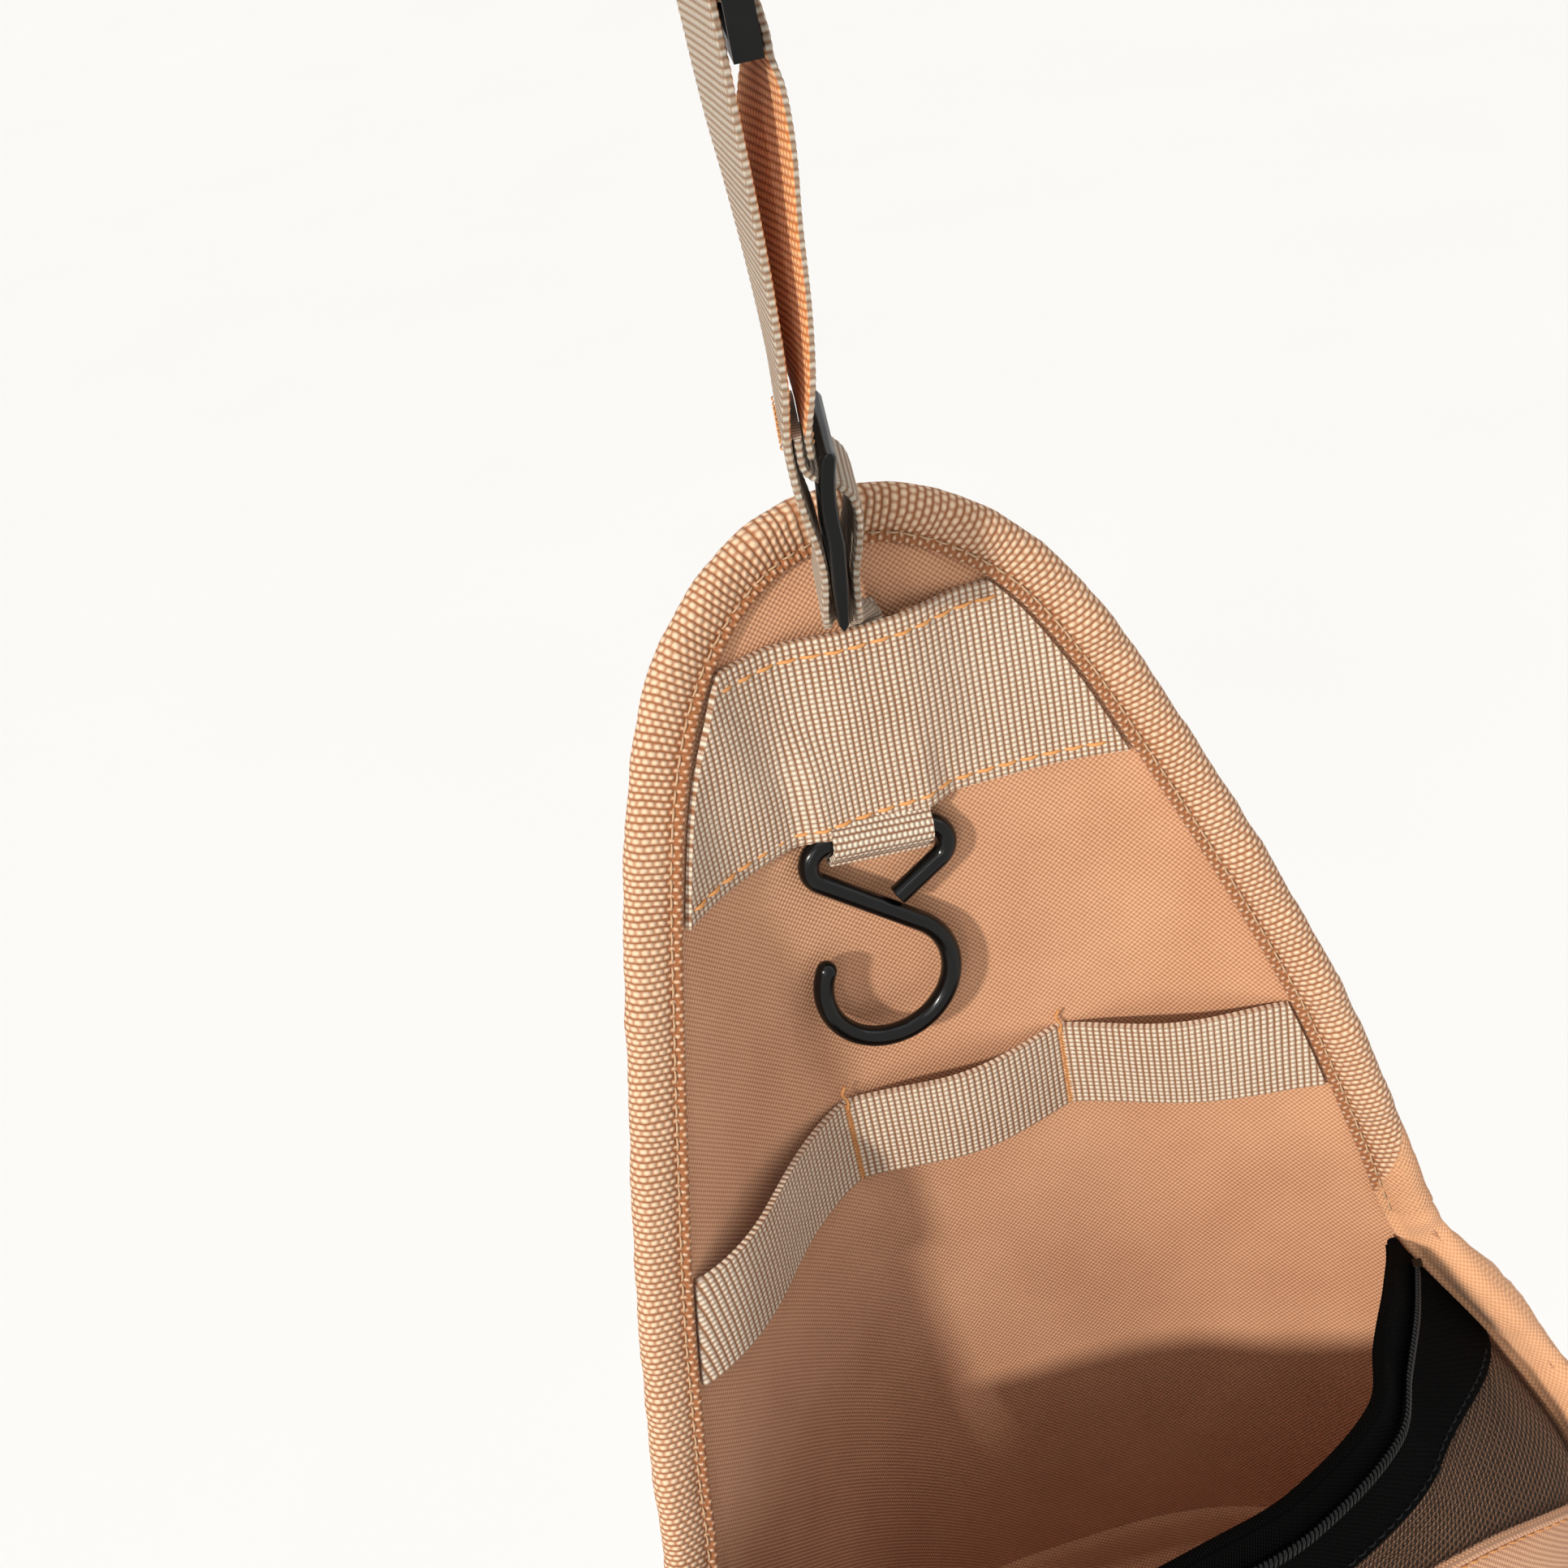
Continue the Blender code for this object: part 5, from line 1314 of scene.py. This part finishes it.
def cross_stitches():
    """Two rows of thread across the sewn joint of the three layers, on its right and left faces."""
    frames = webbing_frames(smooth_curve(right_knots(), 300))
    joint = [f for f in frames if STITCH_LOW_Z + 3.4 * MM <= f[0][2] <= STITCH_HIGH_Z - 0.6 * MM]
    over_layers = 2 * (STRAP_T + GAP) + 0.5 * STRAP_T
    for row, (place, side, normal) in enumerate((joint[0], joint[-1])):
        for tag, face, rise in (("a", 1, over_layers), ("b", -1, 0.5 * STRAP_T)):
            base = place + normal * face * rise
            path = [(base + side * u, normal * face) for u in np.linspace(-11.5, 11.5, 12) * MM]
            name = f"joint_stitch_{row}{tag}"
            stitches(name, path, 0.05 * MM, THREAD, length=2.4 * MM, space=0.5 * MM, radius=0.2 * MM)


standing_strand = strap_piece("strap_loop_webbing", strand(1, loop_knots(), 1300), "strap_loop")
moving_frames = webbing_frames(smooth_curve(right_knots(), 420))
moving_strand = strap_piece("strap_right_webbing", moving_frames, "strap_right", body=None)
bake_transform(moving_strand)
# Painted light: the strands' inner faces take the brighter orange material.
paint_light_on_inner_faces(standing_strand, PANEL_AT[2] + STITCH_HIGH_Z, PANEL_AT[2] + FEMALE_TOP_Z - 2 * MM, 1)
paint_light_on_inner_faces(moving_strand, PANEL_AT[2] + STITCH_HIGH_Z, PANEL_AT[2] + MALE_Z, -1)
strap_piece("strap_fold_webbing", strand(-1, fold_knots(), 260), "strap_fold")
cross_stitches()


# Ladder lock and the fittings that keep their solids

def lock_grid():
    """Points of the lock's two faces in its own frame, and the faces of its front."""
    _, first, second, third, fourth, length = LOCK_BARS
    downs = sorted({*LOCK_BARS, *np.linspace(0, length, 34).round(2)})
    downs = [d for d in downs if not any(0 < abs(d - b) < 0.35 for b in LOCK_BARS)]
    half = 0.5 * LOCK_W
    right = (0, 6 * MM, half - LOCK_RAIL, half - 0.8 * MM, half)
    widths = [-y for y in reversed(right[1:])] + list(right)
    columns = len(widths)
    points = []
    for face in (-1, 1):
        for down in downs:
            along = down / length
            wave = -LOCK_WAVE * sin(pi * min(along / 0.5, 2 - along / 0.5)) * (along < 0.5)
            end = min(down, length - down) / LOCK_ROUND
            roll = 1 if end > 1 else sqrt(max(0.12, 1 - (1 - end) ** 2))
            thick = LOCK_T * (1 - 0.35 * share(along, 0.75, 1)) * roll
            for j, y in enumerate(widths):
                rim = 0.72 if j in (0, columns - 1) else 1.0
                points.append((wave + face * thick / 2 * rim, y, -down * MM))
    open_rows = {
        i for i, (high, low) in enumerate(zip(downs, downs[1:]))
        if first < (high + low) / 2 < second or third < (high + low) / 2 < fourth
    }
    faces = [
        face for k, face in enumerate(grid_faces(len(downs), columns))
        if not (k // (columns - 1) in open_rows and 2 <= k % (columns - 1) < columns - 3)
    ]
    return points, faces


def ladder_lock():
    """Moulded frame: two slots, a wavy side and a rounded thumb end."""
    top_x, top_z = LOCK_TOP
    low_x, low_z = LOCK_BOTTOM
    lean = atan2(top_x - low_x, top_z - low_z)
    place = Matrix.Translation(Vector(np.array([top_x * MM, STRAP_Y, top_z * MM]) + PANEL_AT)) @ (
        Matrix.Rotation(-radians(STRAP_TURN), 4, "Z") @ Matrix.Rotation(lean, 4, "Y")
    )
    points, faces = lock_grid()
    placed = [tuple(place @ Vector(p)) for p in points]
    piece = fix_normals(add_piece(
        "lock_moulding", placed, thicken(faces, len(points) // 2), BLACK_PLASTIC, body="lock",
        slot="black_plastic", origin=0, sharp=50,
    ))
    soften(piece, 0.55 * MM, 3)
    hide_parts("ladder_lock")


def soften(obj, width, segments=2):
    """Rounds the edges of a moulded piece."""
    bevel = obj.modifiers.new("soft_edges", "BEVEL")
    bevel.width = width
    bevel.segments = segments
    bevel.limit_method = "ANGLE"
    bevel.angle_limit = radians(40)
    bevel.harden_normals = True


def kept_nodes():
    """Fittings that show their own solids, dressed and softened."""
    for names, material, width in (
        (("buckle_female", "buckle_male"), BLACK_PLASTIC, 0.7 * MM),
        (("prong_near", "prong_far"), BLACK_PLASTIC, 0.35 * MM),
        (("zip_slider", "zip_pull"), BLACK_METAL, 0.28 * MM),
        (("zip_top_stop", "zip_bottom_stop"), BLACK_METAL, 0.3 * MM),
    ):
        for name in names:
            node = frame["nodes"][name]
            for slot in node.material_slots:
                slot.material = material
            soften(node, width)


ladder_lock()
kept_nodes()


# Stage, light and camera

def stage():
    """Plain floor well below the bag."""
    mesh = bpy.data.meshes.new("floor")
    corners = [(x * FLOOR_HALF, y * FLOOR_HALF, FLOOR_Z) for x, y in ((-1, -1), (1, -1), (1, 1), (-1, 1))]
    mesh.from_pydata(corners, [], [(0, 1, 2, 3)])
    mesh.materials.append(FLOOR)
    put("floor", mesh)


def lamp(name, kind, energy, travel, place=(0, 0, 0), **settings):
    """Lamp whose light travels in a direction."""
    data = bpy.data.lights.new(name, kind)
    data.energy = energy
    for key, value in settings.items():
        setattr(data, key, value)
    obj = put(name, data)
    obj.location = place
    obj.rotation_euler = Vector(travel).to_track_quat("-Z", "Y").to_euler()


def world():
    """White where it is seen, reflected or looked through, and dimmer as light on the bag."""
    n = Nodes(bpy.data.worlds.new("studio"), "Background")
    path = n.add("ShaderNodeLightPath")
    seen = path.outputs["Is Camera Ray"]
    for kind in ("Is Glossy Ray", "Is Transmission Ray"):
        seen = n.math("MAXIMUM", seen, path.outputs[kind])
    n.set(Color=(1, 1, 1), Strength=n.scaled(seen, 1 - WORLD_LIGHT, WORLD_LIGHT))
    bpy.context.scene.world = n.made


def camera():
    """The photograph's camera."""
    data = bpy.data.cameras.new("camera")
    data.sensor_width = SENSOR
    data.lens = CAMERA_PIXELS / IMAGE_PIXELS * SENSOR
    data.clip_start = 0.01
    right = Vector(CAMERA_RIGHT).normalized()
    down = Vector(CAMERA_DOWN)
    down = (down - right * down.dot(right)).normalized()
    back = right.cross(-down)
    turn = Matrix((right, -down, back)).transposed().to_4x4()
    place = Vector(CAMERA_AT) * MM + Vector(PANEL_AT)
    bpy.context.scene.camera = put("camera", data)
    bpy.context.scene.camera.matrix_world = Matrix.Translation(place) @ turn


stage()
world()
camera()
lamp("key", "SUN", 2.75, (0.82, 0.485, -0.40), angle=radians(4), color=(1.0, 0.95, 0.87))
lamp("top", "SUN", 0.6, (0.0, 0.05, -1.0), angle=radians(60), color=(1.0, 1.0, 1.0))
lamp(
    "edge_light", "AREA", 1.5, (0.62, 0.80, -0.40), (-0.62, -0.80, 0.10), shape="RECTANGLE", size=0.035,
    size_y=0.9,
)
lamp(
    "side_light", "AREA", 0.9, (-0.85, 0.45, -0.55), (0.85, -0.45, 0.35), shape="RECTANGLE", size=0.03,
    size_y=0.7,
)
bpy.context.scene.view_settings.view_transform = "Standard"
